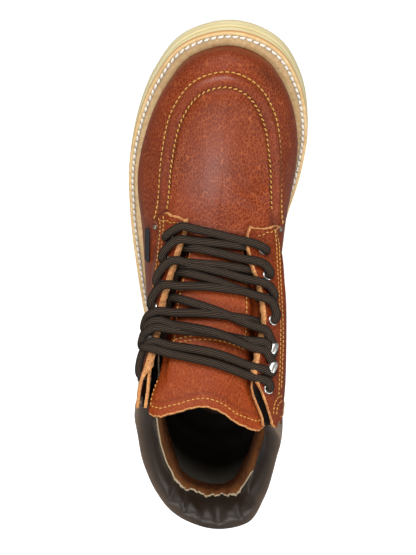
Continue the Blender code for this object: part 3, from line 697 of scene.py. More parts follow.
def makeFootbed():
    # Footbed inside the upper, cupped up a little at its rim
    rim = [(sole["footUnder"], 0.3), (sole["insoleIn"], 0.3)]
    top = zip((sole["insoleIn"], 3.2, 5.0, 9.0, 15.0), (0.0, 0.9, 0.5, 0.1, 0.0))
    rim += [(inward, sole["insole"] - 0.9 + rise) for inward, rise in top]
    rings = [soleRing(-sole["footUnder"], weltFoot)]
    rings += [soleRing(-inward, lambda y, rise=rise: soleTop(y) + rise) for inward, rise in rim]
    closedLayer("bootFootbed", rings, ladderOf(rings[0], 3), ladderOf(rings[-1], 9),
                bedFinish, "insole")


makeOutsole()
makeMidsole()
makeWelt()
makeFootbed()
print("sole made")


# Upper: one skin over the form; moc seam, puckers and wear creases are soft troughs and ridges
upper = {"wall": 2.2, "facing": 3.0, "perStation": 18, "rows": (10, 18, 24, 34), "highRows": 30, "lipRows": 3,
         "collarStart": 4.72, "collarStep": 0.03, "collarBlend": 2.0, "frontDrop": 0.16, "backDrop": 0.92,
         "outerRow": 2.02, "innerRow": 3.0,
         # x and y of both ends, width, depth
         "creases": [(14, 222, 33, 205, 2.4, 1.3), (22, 226, 38, 212, 2.0, 1.0),
                     (-20, 216, -4, 207, 3.2, 0.6), (4, 210, 24, 204, 2.8, 0.8)]}
# The cut edges of the throat: rails, and how far each edge wanders there in stations
facing = {"railAt": [3.96, 4.02, 4.08, 4.15, 4.3, 4.54, 4.74, 5.02,
                     5.22, 5.38, 5.6, 5.75, 5.83, 5.9, 5.97, 6.1],
          "outer": [0.0, -0.1, -0.14, -0.06, 0.18, 0.25, 0.27, 0.27,
                    0.25, 0.22, 0.22, 0.25, 0.27, 0.28, 0.28, 0.28],
          "inner": [0.0, -0.06, -0.3, -0.56, -0.6, -0.34, -0.1, 0.0,
                    -0.16, -0.34, -0.54, -0.56, -0.36, -0.04, 0.26, 0.4],
          "fadeIn": 1.2, "reach": 1.2, "part": (0.12, 0.34), "bevel": (0.42, 0.24),
          "flare": (5.5, 2.4), "flareFrom": 5.2, "flareTo": 5.85}


def facingShift(u, v):  # the cut edge wanders along the throat, and its top corners lean out
    fold, inner = foldedU(u), onInner(u)
    near = 1 - smoothStep(fold, upper["facing"], upper["facing"] + facing["reach"])
    near = near * smoothStep(fold, facing["fadeIn"], upper["facing"])
    outerWander, innerWander = (np.interp(v, facing["railAt"], facing[side]) for side in ("outer", "inner"))
    wander = np.where(inner, -innerWander, outerWander)
    lean = np.clip((4.5 - fold) / 1.5, 0, 1) * smoothStep(v, facing["flareFrom"], facing["flareTo"])
    return u + wander * near, lean * np.where(inner, facing["flare"][1], facing["flare"][0])


def topRail(u):  # how high the leather reaches: the collar takes over behind the eyestays
    fold = foldedU(u)
    back = smoothStep(fold, upper["collarStart"], upper["collarStart"] + upper["collarBlend"])
    drop = upper["frontDrop"] + (upper["backDrop"] - upper["frontDrop"]) * back
    outer = 0.16 * smoothStep(fold, 3.25, 3.95) - 0.05 * (1 - smoothStep(fold, 3.0, 3.5))
    inner = 0.16 * smoothStep(fold, 3.8, 4.45) - 0.03 * (1 - smoothStep(fold, 3.0, 3.6))
    front = np.where(onInner(u), inner, outer)
    return 6.0 - np.where(fold < upper["collarStart"] - upper["collarStep"] / 2, front, drop)


def ridgeLift(u, v):  # a round roll between the two stitch rows, and a bulge where it ends at the inner waist
    fade = np.clip((last["ridgeEnd"] - foldedU(u)) / last["ridgeFade"], 0.0, 1.0)
    bulge = 4.0 * bell(np.mod(u, last["stations"]), 15.05, 0.7) * bell(v, 2.2, 1.0)
    return last["ridgeRise"] * np.sin(np.pi * np.clip(v - 2, 0.0, 1.0)) * fade + bulge


def creaseLift(points):  # troughs along short straight lines in plan, fading towards their ends
    total = np.zeros(points.shape[:-1])
    onTop = smoothStep(points[..., 2], 60, 68)
    for x0, y0, x1, y1, width, depth in upper["creases"]:
        start, run = np.array([x0, y0]), np.array([x1 - x0, y1 - y0])
        share = ((points[..., :2] - start) @ run) / (run @ run)
        away = np.linalg.norm(points[..., :2] - start - np.clip(share, 0, 1)[..., None] * run, axis=-1)
        total -= depth * bell(away, 0, width) * bell(share, 0.5, 0.45) * onTop
        total += 0.5 * depth * bell(away, 1.9 * width, width) * bell(share, 0.5, 0.4) * onTop
    return total


def seamShare(u):  # 1 along the moc seam, fading where it ends
    return 1 - smoothStep(foldedU(u), 4.1, 4.5)


def skinLift(u, v):
    # Ridge, less a trough at each stitch row, plus puffed plug, puckers, slow waves and parted top corner
    fold = foldedU(u)
    seamEnd = seamShare(u)
    lift = ridgeLift(u, v)
    lift = lift - 0.5 * bell(v, upper["outerRow"], 0.05) * seamEnd
    lift = lift - 0.95 * bell(v, upper["innerRow"], 0.05) * seamEnd
    lift = lift + 0.6 * bell(v, 3.15, 0.09) * seamEnd
    lift = lift + 0.22 * np.sin(2 * np.pi * 6.6 * u) * bell(v, 2.84, 0.09) * seamEnd
    lift = lift - 2.6 * bell(np.mod(u, last["stations"]), 5.1, 0.8) * bell(v, 0.9, 0.7)
    lift = lift + 0.35 * np.sin(1.9 * u + 2.1 * v) * np.sin(2.7 * v - 0.8 * u) * smoothStep(v, 0.2, 0.8)
    return lift - 2.4 * smoothStep(v, 5.58, 5.86) * (1 - smoothStep(fold, 3.1, 4.2))


def upperGrid(columns):  # the same rows up to the throat, then rows spread evenly to the top edge
    low = np.concatenate([np.arange(n) / n + k for k, n in enumerate(upper["rows"])] + [[4.0]])
    high = np.linspace(0, 1, upper["highRows"] + 1)[1:, None]
    v = np.concatenate([np.repeat(low[:, None], len(columns), axis=1), 4 + high * (topRail(columns) - 4)])
    return np.repeat(columns[None, :], len(v), axis=0), v, len(low)


def makeUpper():
    # The form's grid lifted by ridge, troughs, creases and flare, without the quads inside the throat
    half = np.arange(0, 10 * upper["perStation"] + 1) / upper["perStation"]
    close = np.abs(half - upper["collarStart"]) < 0.04
    ends = [upper["collarStart"] - upper["collarStep"], upper["collarStart"]]
    half = np.sort(np.concatenate([half[~close], ends]))
    columns = np.concatenate([half, 20 - half[-2:0:-1]])
    u, v, lowRows = upperGrid(columns)
    flat = liftedAt(u, v, 0.0)
    shifted, flare = facingShift(u, v)
    flare = np.where(v > 4, flare, 0)
    points = liftedAt(np.where(v > 4, shifted, u), v, skinLift(u, v) + creaseLift(flat) + flare)
    middle = foldedU((columns + np.roll(np.where(columns == 0, 20, columns), -1)) / 2)
    keep = np.ones((len(v) - 1, len(columns)), bool)
    keep[np.ix_(np.arange(len(v) - 1) >= lowRows + upper["lipRows"] - 1, middle < upper["facing"])] = False
    fold, seamEnd = foldedU(u), seamShare(u)
    # painted shade in the troughs of the moc seam's two stitch rows, and along the foot where the upper meets
    # the welt
    seamShade = (0.5 * bell(v, 2.02, 0.05) + 0.45 * bell(v, 2.97, 0.035) + 0.2 * bell(v, 2.9, 0.12)) * seamEnd
    seamShade = np.maximum(seamShade, 0.7 * bell(v, 0.0, 0.12))
    grain = 0.6 + 0.4 * smoothStep(v, 2.9, 3.1) * (1 - smoothStep(v, 4.2, 4.6)) + 0.25 * bell(v, 1.5, 0.4)
    grain = grain + 0.2 * bell(v, 2.5, 0.3) - 0.22 * bell(v, 3.75, 0.4)  # smoother before the throat
    # a dark smudge low on the toe's inner side, then a faint darker band across the front of the plug
    smudgeAndDarkBand = 0.5 * bell(u, 18.95, 0.45) * bell(v, 1.35, 0.28) + 0.3 * bell(u, 18.2, 0.5) * bell(v, 0.7, 0.4)
    smudgeAndDarkBand = np.maximum(smudgeAndDarkBand, 0.12 * bell(v, 3.2, 0.22) * (1 - smoothStep(fold, 2.0, 3.6)))
    signed = np.mod(u + 10, 20) - 10
    polish = bell(signed, 1.6, 2.1) * bell(v, 3.7, 0.34)
    polish = polish + (0.2 + 0.8 * bell(signed, 0.7, 1.0)) * bell(v, 2.5, 0.18) * seamEnd
    # painted shade, near black, on the top front corner where the upper sinks under the eyestay
    gap = smoothStep(v, 5.62, 5.74) * (1 - smoothStep(fold, 3.6, 3.9))
    skin = sheetMesh("bootUpper", points, [upperFinish, edgeFinish, liningFinish], roundCols=True, keep=keep,
                     fields={"seamShade": seamShade, "grain": grain, "smudgeAndDarkBand": smudgeAndDarkBand, "gap": gap, "polish": polish})
    thicken(skin, upper["wall"], 1, 2)
    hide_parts("upper")


makeUpper()
print("upper made")


# Eyestays: a strip beside the throat with raw cut edges
eyestay = {"foot": 0.1, "frontU": 4.43, "outerU": 4.6, "widenBy": 0.45, "edge": 0.03,
           "outerAt": [0.0, 0.2, 0.38, 0.53, 0.7, 0.81, 0.88, 0.94, 1.0],
           "outerRail": [3.97, 3.86, 3.74, 3.6, 3.25, 2.9, 2.5, 2.3, 2.22],
           "innerAt": [0.0, 0.17, 0.4, 0.635, 0.82, 0.92, 0.97, 1.0],
           "innerRail": [4.03, 4.02, 3.93, 3.75, 3.47, 3.2, 2.85, 2.3],
           "bevel": 0.02, "top": 2.5, "tip": (6.05, 6.0), "trim": ((0.2, 0.14, 0.6), (0.25, 0.55, 1.0))}


def stayFront(across, s):  # the rail of the front edge, falling away towards the side
    side = "inner" if s < 0 else "outer"
    return np.interp(across, eyestay[side + "At"], eyestay[side + "Rail"])


def stayU(across, along):  # station across the strip, which widens on its way up
    widened = np.clip(along / eyestay["widenBy"], 0, 1)
    outer = eyestay["frontU"] + (eyestay["outerU"] - eyestay["frontU"]) * widened
    inner = upper["facing"] + eyestay["edge"]
    return inner + (outer - eyestay["edge"] - inner) * across


def stayV(across, along, s):  # rail between the front edge and the trimmed top
    fall, start, end = eyestay["trim"][s < 0]
    top = eyestay["tip"][s < 0] - fall * smoothStep(across, start, end)
    return stayFront(across, s) + (top - stayFront(across, s)) * along


def makeEyestay(name, sign, node):
    # A closed ring across the strip (top, outer edge, underside, facing edge) carried from front to top
    across = [np.linspace(0.02, 0.98, 22), [1.0, 1.0], np.linspace(0.97, 0.03, 12), [0.0, 0.0]]
    across = np.concatenate(across)
    thick = np.concatenate([np.ones(22), [0.85, 0.1], np.zeros(12), [0.1, 0.85]])
    along = np.concatenate([[0.0, 0.0], np.linspace(0.03, 1, 90) ** 0.8, [1.0]])
    a, s = np.meshgrid(across, along)
    t = np.repeat(thick[None, :], len(along), axis=0)
    t[0] = 0.1
    t[-1] = 0.45
    s[1] = eyestay["bevel"] * t[1]
    u, v = stayU(a, s), stayV(a, s, sign)
    ragged = 0.03 * np.sin(57 * s + 3 * sign) + 0.02 * np.sin(131 * s)
    bevel = facing["bevel"][sign < 0] * (1 - t) * (1 - smoothStep(v, 5.64, 5.78))
    u = u + np.where(a < 0.01, ragged - bevel, 0)
    u = u + facing["part"][sign < 0] * smoothStep(v, 5.62, 5.84) * (1 - a) ** 2
    ridge = ridgeLift(sign * u, v)
    curl = 0.35 * bell(a, 0.0, 0.12) + 0.25 * np.sin(9 * s + sign) * bell(a, 0.1, 0.3)
    shifted, flare = facingShift(sign * u, v)
    lift = ridge + eyestay["foot"] + (eyestay["top"] - eyestay["foot"]) * t + curl + flare
    points = liftedAt(shifted, v, lift)
    band = np.zeros((len(along) - 1, len(across)), int)
    band[:, 21:24] = 1
    band[:, 34:] = 1
    band[0] = band[-1] = 1
    # painted shade beside the outer stitch row and near the front edge
    seamShade = 0.4 * bell(a, 0.92, 0.02) + 0.35 * bell(s, 0.03, 0.012)
    if sign < 0:
        points = points[:, ::-1]
        band = np.concatenate([band[:, -2::-1], band[:, -1:]], axis=1)
        seamShade = seamShade[:, ::-1]
    piece = sheetMesh(name, points, [upperFinish, edgeFinish], roundCols=True, band=band,
                      fields={"seamShade": seamShade, "grain": 0.6, "smudgeAndDarkBand": 0.0})
    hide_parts(node)


makeEyestay("eyestayOuter", 1, "eyestay_lateral")
makeEyestay("eyestayInner", -1, "eyestay_medial")
print("eyestays made")


# Tongue: a soft leaf that sinks at its sides under the facings, with a waved top edge
tongue = {"footU": 2.9, "topU": 3.65, "footV": 3.72, "thickness": 1.9, "rest": -2.9, "sink": 4.6,
          "sinkFrom": 2.15, "sinkTo": 2.75, "sinkUp": (4.12, 4.34)}


def tongueTop(x):  # rail of the top edge, waved from the outer side (1) to the inner side (-1)
    at = [-1.0, -0.9, -0.8, -0.5, -0.25, 0.0, 0.2, 0.45, 0.65, 0.8, 0.92, 1.0]
    rail = [6.02, 6.08, 6.12, 6.20, 6.17, 6.16, 6.17, 6.20, 6.20, 6.15, 6.10, 6.04]
    return curveThrough(np.array(rail)[:, None], np.interp(x, at, np.arange(len(at))))[..., 0]


def tongueLift(u, v):  # below the form, deeper under the facings, with slow waves
    sink = smoothStep(np.abs(u), tongue["sinkFrom"], tongue["sinkTo"]) * (1 - smoothStep(v, 5.55, 5.95))
    sink = sink * smoothStep(v, *tongue["sinkUp"])
    wave = 0.5 * np.sin(1.3 * u + 2.6 * v) + 0.3 * np.sin(7 * v)
    return tongue["rest"] - tongue["sink"] * sink + wave * smoothStep(v, 4.3, 4.8)


def makeTongue():
    # Ring across the leaf (top, edge, underside, edge) carried from its foot to its top edge
    top = np.linspace(0.995, -0.995, 61)
    x = np.concatenate([top, [-1.0, -1.0], top[::-2], [1.0, 1.0]])
    thick = np.concatenate([np.ones(61), [0.8, 0.2], np.zeros(31), [0.2, 0.8]])
    along = np.concatenate([np.linspace(0, 0.985, 80), [0.995, 1.0, 1.0]])
    a, s = np.meshgrid(x, along)
    t = np.repeat(thick[None, :], len(along), axis=0)
    t[-2] = 0.2 + 0.6 * t[-2]
    t[-1] = 0.5
    t[0] = 0.5
    u = (tongue["footU"] + (tongue["topU"] - tongue["footU"]) * s) * a
    end = tongueTop(a) + 0.004 * np.sin(41 * a) + 0.003 * np.sin(97 * a)
    v = tongue["footV"] + (end - tongue["footV"]) * s
    lift = tongueLift(u, v) - tongue["thickness"] * (1 - t)
    points = liftedAt(u, v, lift)[:, ::-1]
    band = np.zeros((len(along) - 1, len(x)), int)
    band[-2:] = 1
    # painted shade in a thin line just below the top stitch row
    seamShade = (0.3 * bell(v, end - 0.16, 0.02))[:, ::-1]
    piece = sheetMesh("bootTongue", points, [tongueFinish, edgeFinish], roundCols=True, band=band,
                      fields={"seamShade": seamShade, "grain": 0.8, "smudgeAndDarkBand": 0.0})
    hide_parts("tongue")


makeTongue()
print("tongue made")


# Collar: a padded roll, gathered at the back
collar = {"out": 2.8, "inside": 7.5, "outerStart": 3.4, "innerStart": 3.75, "endRound": 1.2, "footGap": 0.012,
          # station, depth and width of each gather, as the pad is drawn in round the heel
          "gathers": [(8.48, 2.6, 0.2), (9.16, 1.9, 0.17), (9.72, 0.9, 0.14), (10.2, 2.0, 0.18),
                      (10.95, 1.3, 0.15), (11.75, 2.4, 0.2)],
          # rail of the lining's waved edge, and of its foot, by station
          "liningAt": [5.2, 5.6, 7.0, 7.9, 8.4, 8.8, 9.25, 9.8,
                       10.3, 10.65, 11.1, 11.55, 12.1, 12.9, 13.8, 14.8],
          "liningTop": [5.80, 5.74, 5.60, 5.53, 5.60, 5.55, 5.40, 5.42,
                        5.34, 5.43, 5.41, 5.40, 5.47, 5.56, 5.56, 5.50],
          "liningFoot": [3.7, 3.7, 3.8, 3.95, 4.3, 4.75, 4.84, 4.88,
                         4.88, 4.72, 4.2, 4.0, 3.95, 3.9, 3.8, 3.7]}


def makeCollar():
    # An oval section: outer face, crown, inner face and foot, full in the middle and closed at both ends
    start = collar["outerStart"]
    u = np.linspace(start, 20 - collar["innerStart"], 340)
    turn = np.linspace(0, 2 * np.pi, 49)[:-1]
    a, uu = np.meshgrid(turn, u)
    fromEnd = foldedU(uu) - np.where(uu > 10, collar["innerStart"], start)
    ends = np.sin(np.pi * np.clip(fromEnd / collar["endRound"], 0, 0.5)) ** 0.7
    foot = np.minimum(topRail(uu) + collar["footGap"], 5.98)
    rise = 0.5 - 0.5 * np.cos(a) * (1 - 0.06 * np.sin(a) ** 2)
    v = foot + (6 - foot) * rise
    full = np.abs(np.sin(a)) ** 0.8
    outer = np.where(np.sin(a) >= 0, (collar["out"] - 2.2 * smoothStep(uu, 11.0, 13.5)) * full * ends, 0)
    inner = np.where(np.sin(a) < 0, collar["inside"] * full * ends, 0)
    lift = outer - inner - upper["wall"] * smoothStep(-np.sin(a), -0.3, 0.3) * np.minimum(1, 3 * ends)
    crownIn = bell(np.angle(np.exp(1j * (a - 1.22 * np.pi))), 0, 0.55)
    shade = 0.92 * smoothStep(-np.sin(a), -0.6, 0.3)
    scallop = -1.0 + 0.45 * np.abs(np.sin(np.pi * (uu - 8.5) / 0.85)) ** 0.8
    shade = np.maximum(shade, 0.9 * bell(uu, 10.1, 1.6) * smoothStep(-np.sin(a) - scallop, 0.0, 0.3))
    for at, depth, width in collar["gathers"]:
        lean = at + 0.10 * np.sin(a)
        fold = bell(uu, lean, width) - 0.6 * bell(uu, lean + 2 * width, 1.5 * width)
        lift = lift + depth * fold * crownIn
        shade = np.maximum(shade, 0.25 * depth * bell(uu, lean + 2 * width, 1.2 * width) * crownIn)
    lift = lift + 0.35 * np.sin(3.1 * uu) * np.sin(a) * ends + facingShift(uu, v)[1]
    points = liftedAt(uu, v, lift)
    piece = sheetMesh("bootCollar", points, [collarFinish], roundCols=True, fields={"shade": shade})
    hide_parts("collar")


def makeCollarLining():
    # A suede strip inside the pad with a waved, frayed top edge that curls towards the opening
    u = np.linspace(5.2, 14.8, 260)
    t = np.append(np.linspace(0, 0.945, 25), 1.0)
    s, uu = np.meshgrid(t, u, indexing="ij")
    back = smoothStep(uu, 7.7, 8.6) * (1 - smoothStep(uu, 11.0, 11.6))
    s[-2] += 0.04 * (1 - back[-2])
    edge, low = (np.interp(uu, collar["liningAt"], collar[k]) for k in ("liningTop", "liningFoot"))
    edge = edge + (0.022 * np.sin(17 * uu) + 0.012 * np.sin(39 * uu + 1)) * (0.15 + 0.85 * back)
    v = low + (edge - low) * s
    lift = -4.4 - 5.4 * smoothStep(s, 0.0, 0.85) * (1 - 0.6 * smoothStep(uu, 12.1, 12.7))
    lift = lift + 0.5 * np.sin(9 * uu + 3 * s) * smoothStep(s, 0.4, 1.0) * (0.1 + 0.9 * back)
    points = liftedAt(uu, v, lift)
    band = np.zeros((len(t) - 1, len(u) - 1), int)
    band[-1, u[:-1] < 12.3] = 1
    piece = sheetMesh("collarLining", points, [suedeFinish, cutFinish], band=band)
    thicken(piece, 0.9, 1, 0)


makeCollar()
makeCollarLining()
print("collar made")


# Lacing metal: domed eyelets, and hooks bent from a strip
lacing = {"rows": [(4.07, 4.25), (4.36, 4.53), (4.62, 4.77), (4.86, 4.99), (5.09, 5.3), (5.28, 5.48),
                   (5.66, 5.69)],
          "hooks": (5, 6), "eyelet": (3.84, 3.5), "hook": (3.3, 3.2), "topInner": 3.22, "seat": 2.45}


def squared(run, normal):  # unit directions of the runs, made square to the normals
    return unit(run - normal * np.sum(run * normal, axis=-1, keepdims=True))


def placeAt(u, v):  # point, outward normal, the way away from the throat and the way across
    normal = formNormal(u, v)
    away = squared(slopes(u, v)[0] * np.sign(u)[:, None], normal)
    return formAt(u, v), normal, away, np.cross(normal, away)


def ringAround(side, other, cuts):  # unit circles in the planes of two square directions
    turn = np.linspace(0, 2 * np.pi, cuts + 1)[:-1][None, :, None]
    return side[:, None] * np.cos(turn) + other[:, None] * np.sin(turn)


def turnedAt(places, seat, radius, height, cuts):  # a profile of radii and heights turned about each normal
    point, normal, away, across = places
    middle, ring = point + normal * seat, ringAround(away, across, cuts)
    return (middle[:, None, None] + ring[:, None] * np.array(radius)[None, :, None, None]
            + normal[:, None, None] * np.array(height)[None, :, None, None])


def eyeletAt(row, s):  # station and rail of the eyelet or hook in a row, on the outer (1) or inner (-1) side
    kind = "hook" if row in lacing["hooks"] else "eyelet"
    return lacing["topInner"] if (row, s) == (7, -1) else lacing[kind][s < 0], lacing["rows"][row - 1][s < 0]


def lacingPlaces(rows):  # signed stations and rails, outer and inner side in turn
    return np.array([(s * eyeletAt(k, s)[0], eyeletAt(k, s)[1]) for k in rows for s in (1, -1)]).T


def makeEyelets():
    # A flange turned from a half-round profile, with a short barrel down through the leather
    rows = [k for k in range(1, 8) if k not in lacing["hooks"]]
    u, v = lacingPlaces(rows)
    radius = (2.3, 2.25, 2.35, 2.6, 2.95, 3.3, 3.55, 3.6, 3.4, 2.4)
    height = (-3.0, 0.0, 0.65, 1.0, 1.05, 0.8, 0.35, 0.05, -0.05, -0.1)
    seat = (lacing["seat"] + facingShift(u, v)[1])[:, None]
    piece = manySheets("bootEyelets", turnedAt(placeAt(u, v), seat, radius, height, 28), [nickelFinish])
    mergeTouching(piece)
    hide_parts(*[f"eyelet_{side}_{k}" for k in rows for side in ("lateral", "medial")])


def makeHooks():
    # A strip bent double from a round foot: neck beside the throat, round lip back over the foot
    rows = lacing["hooks"]
    u, v = lacingPlaces(rows)
    point, normal, away, across = placeAt(u, v)
    # away, lift, half width
    bends = np.array([(6.6, 0.0, 0.8), (6.3, 0.0, 2.2), (5.2, 0.0, 3.3), (3.0, 0.0, 3.8), (0.6, 0.1, 3.2),
                      (-1.2, 0.7, 2.6), (-2.0, 2.6, 2.4), (-1.3, 4.6, 2.5), (0.4, 5.5, 3.1), (2.4, 5.7, 3.6),
                      (4.2, 5.4, 3.2), (5.0, 5.1, 2.0), (5.3, 4.9, 0.7)])
    path = curveThrough(bends * [0.62, 1.0, 1.1], np.linspace(0, len(bends) - 1, 45))
    run = unit(np.gradient(path[:, :2], axis=0))
    # section: a flat oval 1.1 thick
    turn = np.linspace(0, 2 * np.pi, 17)[:-1]
    wide = np.sign(np.cos(turn)) * np.abs(np.cos(turn)) ** 0.6
    thick = 0.55 * np.sign(np.sin(turn)) * np.abs(np.sin(turn)) ** 0.7
    out = path[:, 0, None] - run[:, 1, None] * thick[None]
    lift = path[:, 1, None] + run[:, 0, None] * thick[None] + 0.5
    lift = lift[None] * np.where(u > 0, 0.6, 0.9)[:, None, None]  # the outer lips lie flatter under the lace
    side = path[:, 2, None] * wide[None]
    middle = (point + normal * lacing["seat"])[:, None, None]
    grids = (middle + away[:, None, None] * out[None, ..., None] + normal[:, None, None] * lift[..., None]
             + across[:, None, None] * side[None, ..., None])
    piece = manySheets("bootHooks", grids, [nickelFinish])
    mergeTouching(piece)
    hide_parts(*[f"hook_{side}_{k}" for k in rows for side in ("lateral", "medial")])


def makeRivets():
    # Small domed rivets at the front corner of each eyestay
    places = placeAt(np.array([4.5, -4.5]), np.array([2.56, 2.2]))
    radius = (1.8, 1.75, 1.5, 1.0, 0.5, 0.01)
    height = (-0.4, 0.2, 0.65, 0.95, 1.1, 1.12)
    grids = turnedAt(places, eyestay["top"] + 0.1, radius, height, 20)
    piece = manySheets("bootRivets", grids, [rivetFinish])


makeEyelets()
makeHooks()
makeRivets()
print("lacing metal made")


# Lace: a bar at the foot of the throat, then pulls from under or over one facing to over the other
lace = {"radius": 2.8, "cuts": 16, "step": 1.1, "edgeU": 2.95, "over": 5.6, "under": -3.4,
        # rails where the lace comes over the outer edge, leaves it, comes over the inner edge and leaves it
        "edges": [(4.08, 4.30, 4.26, 4.28), (4.24, 4.50, 4.46, 4.54), (4.48, 4.57, 4.68, 4.78),
                  (4.74, 4.84, 4.84, 5.06), (5.02, 5.12, 5.16, 5.28), (5.20, 5.44, 5.36, 5.54),
                  (5.36, 5.6, 5.64, 5.7)],
        # the way to the light, for the shade on the cord's far side
        "lit": (0.0, 0.5, 0.86)}


def edgeRails(row, s):  # rails where the lace comes over this facing and where it leaves
    return lace["edges"][row - 1][2 * (s < 0):2 * (s < 0) + 2]


def intoEyelet(row, s):  # over the facing and down into the eyelet
    u, v = eyeletAt(row, s)
    come = edgeRails(row, s)[0]
    return [(s * lace["edgeU"], come, lace["over"]),
            (s * min(3.35, u - 0.08), come + 0.02 * (v - come), lace["over"] + 0.5),
            (s * (u - 0.02), come + 0.3 * (v - come), 5.6), (s * (u + 0.12), come + 0.7 * (v - come), 4.8),
            (s * (u + 0.04), v, 2.4), (s * u, v, -0.8)]


def outOfEyelet(row, s):  # from the eyelet's inside, under the facing and out onto the tongue
    u, v = eyeletAt(row, s)
    leave = edgeRails(row, s)[1]
    return [(s * (u - 0.15), v + 0.1 * (leave - v), -4.6), (s * 3.3, v + 0.6 * (leave - v), -5.2),
            (s * (lace["edgeU"] - 0.1), leave, lace["under"])]


def roundHook(row, s):  # over the facing, round behind the hook's neck and back
    u, v = eyeletAt(row, s)
    come, leave = edgeRails(row, s)
    u, h = u + 0.26 * (s > 0), 4.9 + 2.4 * (s > 0)
    return [(s * lace["edgeU"], come, lace["over"]),
            (s * (u - 0.12), 0.4 * come + 0.6 * (v - 0.06), h + 0.5),
            (s * (u + 0.10), v - 0.065, h), (s * (u + 0.22), v, h), (s * (u + 0.10), v + 0.065, h),
            (s * (u - 0.12), 0.4 * leave + 0.6 * (v + 0.06), h + 0.5),
            (s * lace["edgeU"], leave, lace["over"])]


def placesNear(points, u, v):  # stations and rails of the nearest form points, by steps along both slopes
    for _ in range(20):
        alongU, alongV = slopes(u, v)
        off = points - formAt(u, v)
        u = u + 0.7 * np.sum(off * alongU, axis=-1) / np.sum(alongU ** 2, axis=-1)
        v = v + 0.7 * np.sum(off * alongV, axis=-1) / np.sum(alongV ** 2, axis=-1)
    return u, v


def pullAcross(start, end, hump):
    # A straight pull between two stops, pushed out where the tongue or a lower strand is in its way
    share = np.array([0.14, 0.28, 0.42, 0.5, 0.58, 0.72, 0.86])
    ends = liftedAt(*np.array([start, end]).T)
    chord = ends[0] + (ends[1] - ends[0]) * share[:, None]
    u, v = placesNear(chord, start[0] + (end[0] - start[0]) * share, start[1] + (end[1] - start[1]) * share)
    lift = np.sum((chord - formAt(u, v)) * formNormal(u, v), axis=-1)
    rest = tongueLift(u, v) * smoothStep(v, 4.16, 4.3) + lace["radius"] + 0.1
    rest = rest + hump * np.sin(np.pi * share) ** 2
    return liftedAt(u, v, np.maximum(lift, rest))


def strandPath(parts, humps):  # parts of (station, rail, lift) stops, joined by pulls across the throat
    path = [liftedAt(*np.array(parts[0]).T)]
    for before, after, hump in zip(parts, parts[1:], humps):
        path += [pullAcross(before[-1], after[0], hump), liftedAt(*np.array(after).T)]
    return np.concatenate(path)


def laceStops():
    # Both strands start at the first bar; each leaves one eyelet for the next one up on the other side
    first = intoEyelet(1, 1)[::-1]
    across = intoEyelet(1, -1) + outOfEyelet(1, -1)
    through = [lambda row, s: intoEyelet(row, s) + outOfEyelet(row, s)] * 3 + [roundHook] * 2
    left = [across] + [make(row, (-1) ** row) for row, make in zip(range(2, 7), through)]
    left += [intoEyelet(7, -1) + [(-3.16, 5.7, -3.6)]]
    right = [outOfEyelet(1, 1)] + [make(row, -(-1) ** row) for row, make in zip(range(2, 7), through)]
    right += [[(lace["edgeU"], 5.36, lace["over"] + 1.0), (3.4, 5.37, 6.6), (3.8, 5.42, 6.3),
               (3.95, 5.5, 6.2), (3.97, 5.58, 5.8), (3.9, 5.64, 4.8), (3.84, 5.66, 2.4), (3.82, 5.665, -1.2),
               (3.76, 5.68, -3.2)]]
    bar = strandPath([first, left[0]], [0.0])
    upLeft = strandPath(left, [0, 0, 0, 0, 0.0, 0])
    upRight = strandPath(right, [0, 0, 0, 0, 4.6, 3.2])
    return np.concatenate([upRight[::-1], bar, upLeft[len(left[0]):]])


def tubeAlong(path, radius, cols):
    # Rings square to the path; each ring's frame is the one before it turned with the path
    run = unit(np.gradient(path, axis=0))
    side = np.empty_like(path)
    side[0] = unit(np.cross(run[0], [0.3, 0.2, 0.9]))
    for k in range(1, len(path)):
        side[k] = squared(side[k - 1], run[k])
    return path[:, None] + radius[:, None, None] * ringAround(side, np.cross(run, side), cols)


def lengthAlong(points):  # distance from the first point
    return np.concatenate([[0], np.cumsum(np.linalg.norm(np.diff(points, axis=0), axis=1))])


def readAt(at, along, rows):  # rows of values read at distances along them
    return np.stack([np.interp(at, along, column) for column in rows.T], axis=-1)


def makeLace():
    # A tube along the smoothed stops, read at even steps of its length
    points = laceStops()
    dense = curveThrough(points, np.linspace(0, len(points) - 1, 12 * len(points)))
    length = lengthAlong(dense)
    even = np.linspace(0, length[-1], int(length[-1] / lace["step"]))
    path = readAt(even, length, dense)
    kernel = np.array([1, 2, 3, 2, 1]) / 9
    inner = np.stack([np.convolve(column, kernel, mode="valid") for column in path.T], axis=-1)
    path = np.concatenate([path[:2], inner, path[-2:]])
    radius = lace["radius"] * (0.86 + 0.14 * smoothStep(even, 15, 70))  # thinner round the top outer eyelet
    radius[0] = radius[-1] = 0.05
    rings = tubeAlong(path, radius, lace["cuts"])
    uv = np.stack(np.meshgrid(np.linspace(0, 1, lace["cuts"] + 1), even / 4.0), axis=-1)
    lean = (rings - path[:, None]) @ np.array(lace["lit"]) / radius[:, None]
    under = 1 - smoothStep(lean, 0.1, 0.92)  # darker as the cord turns away from the light
    piece = sheetMesh("bootLace", rings, [laceFinish], roundCols=True, uv=uv, fields={"under": under})
    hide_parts("lace")
    print("lace length in mm", round(float(length[-1])))


makeLace()
print("lace made")


# Stitches: short spindles along a row, their ends sunk into the leather
stitch = {"cuts": 6, "rows": 6,
          # sizes of the rows that are sewn alike, and of the welt's: pitch, length, radius, slant, rise
          "plain": {"pitch": 3.0, "length": 2.3, "radius": 0.42},
          "stay": {"pitch": 2.8, "length": 2.3, "radius": 0.34},
          "welt": {"pitch": 4.6, "length": 3.9, "radius": 0.88, "slant": 0.14, "rise": 1.0}}
stitchUv = np.meshgrid(np.linspace(0, 1, stitch["cuts"] + 1), np.linspace(0, 1, stitch["rows"]))
stitchUv = np.stack(stitchUv, axis=-1)


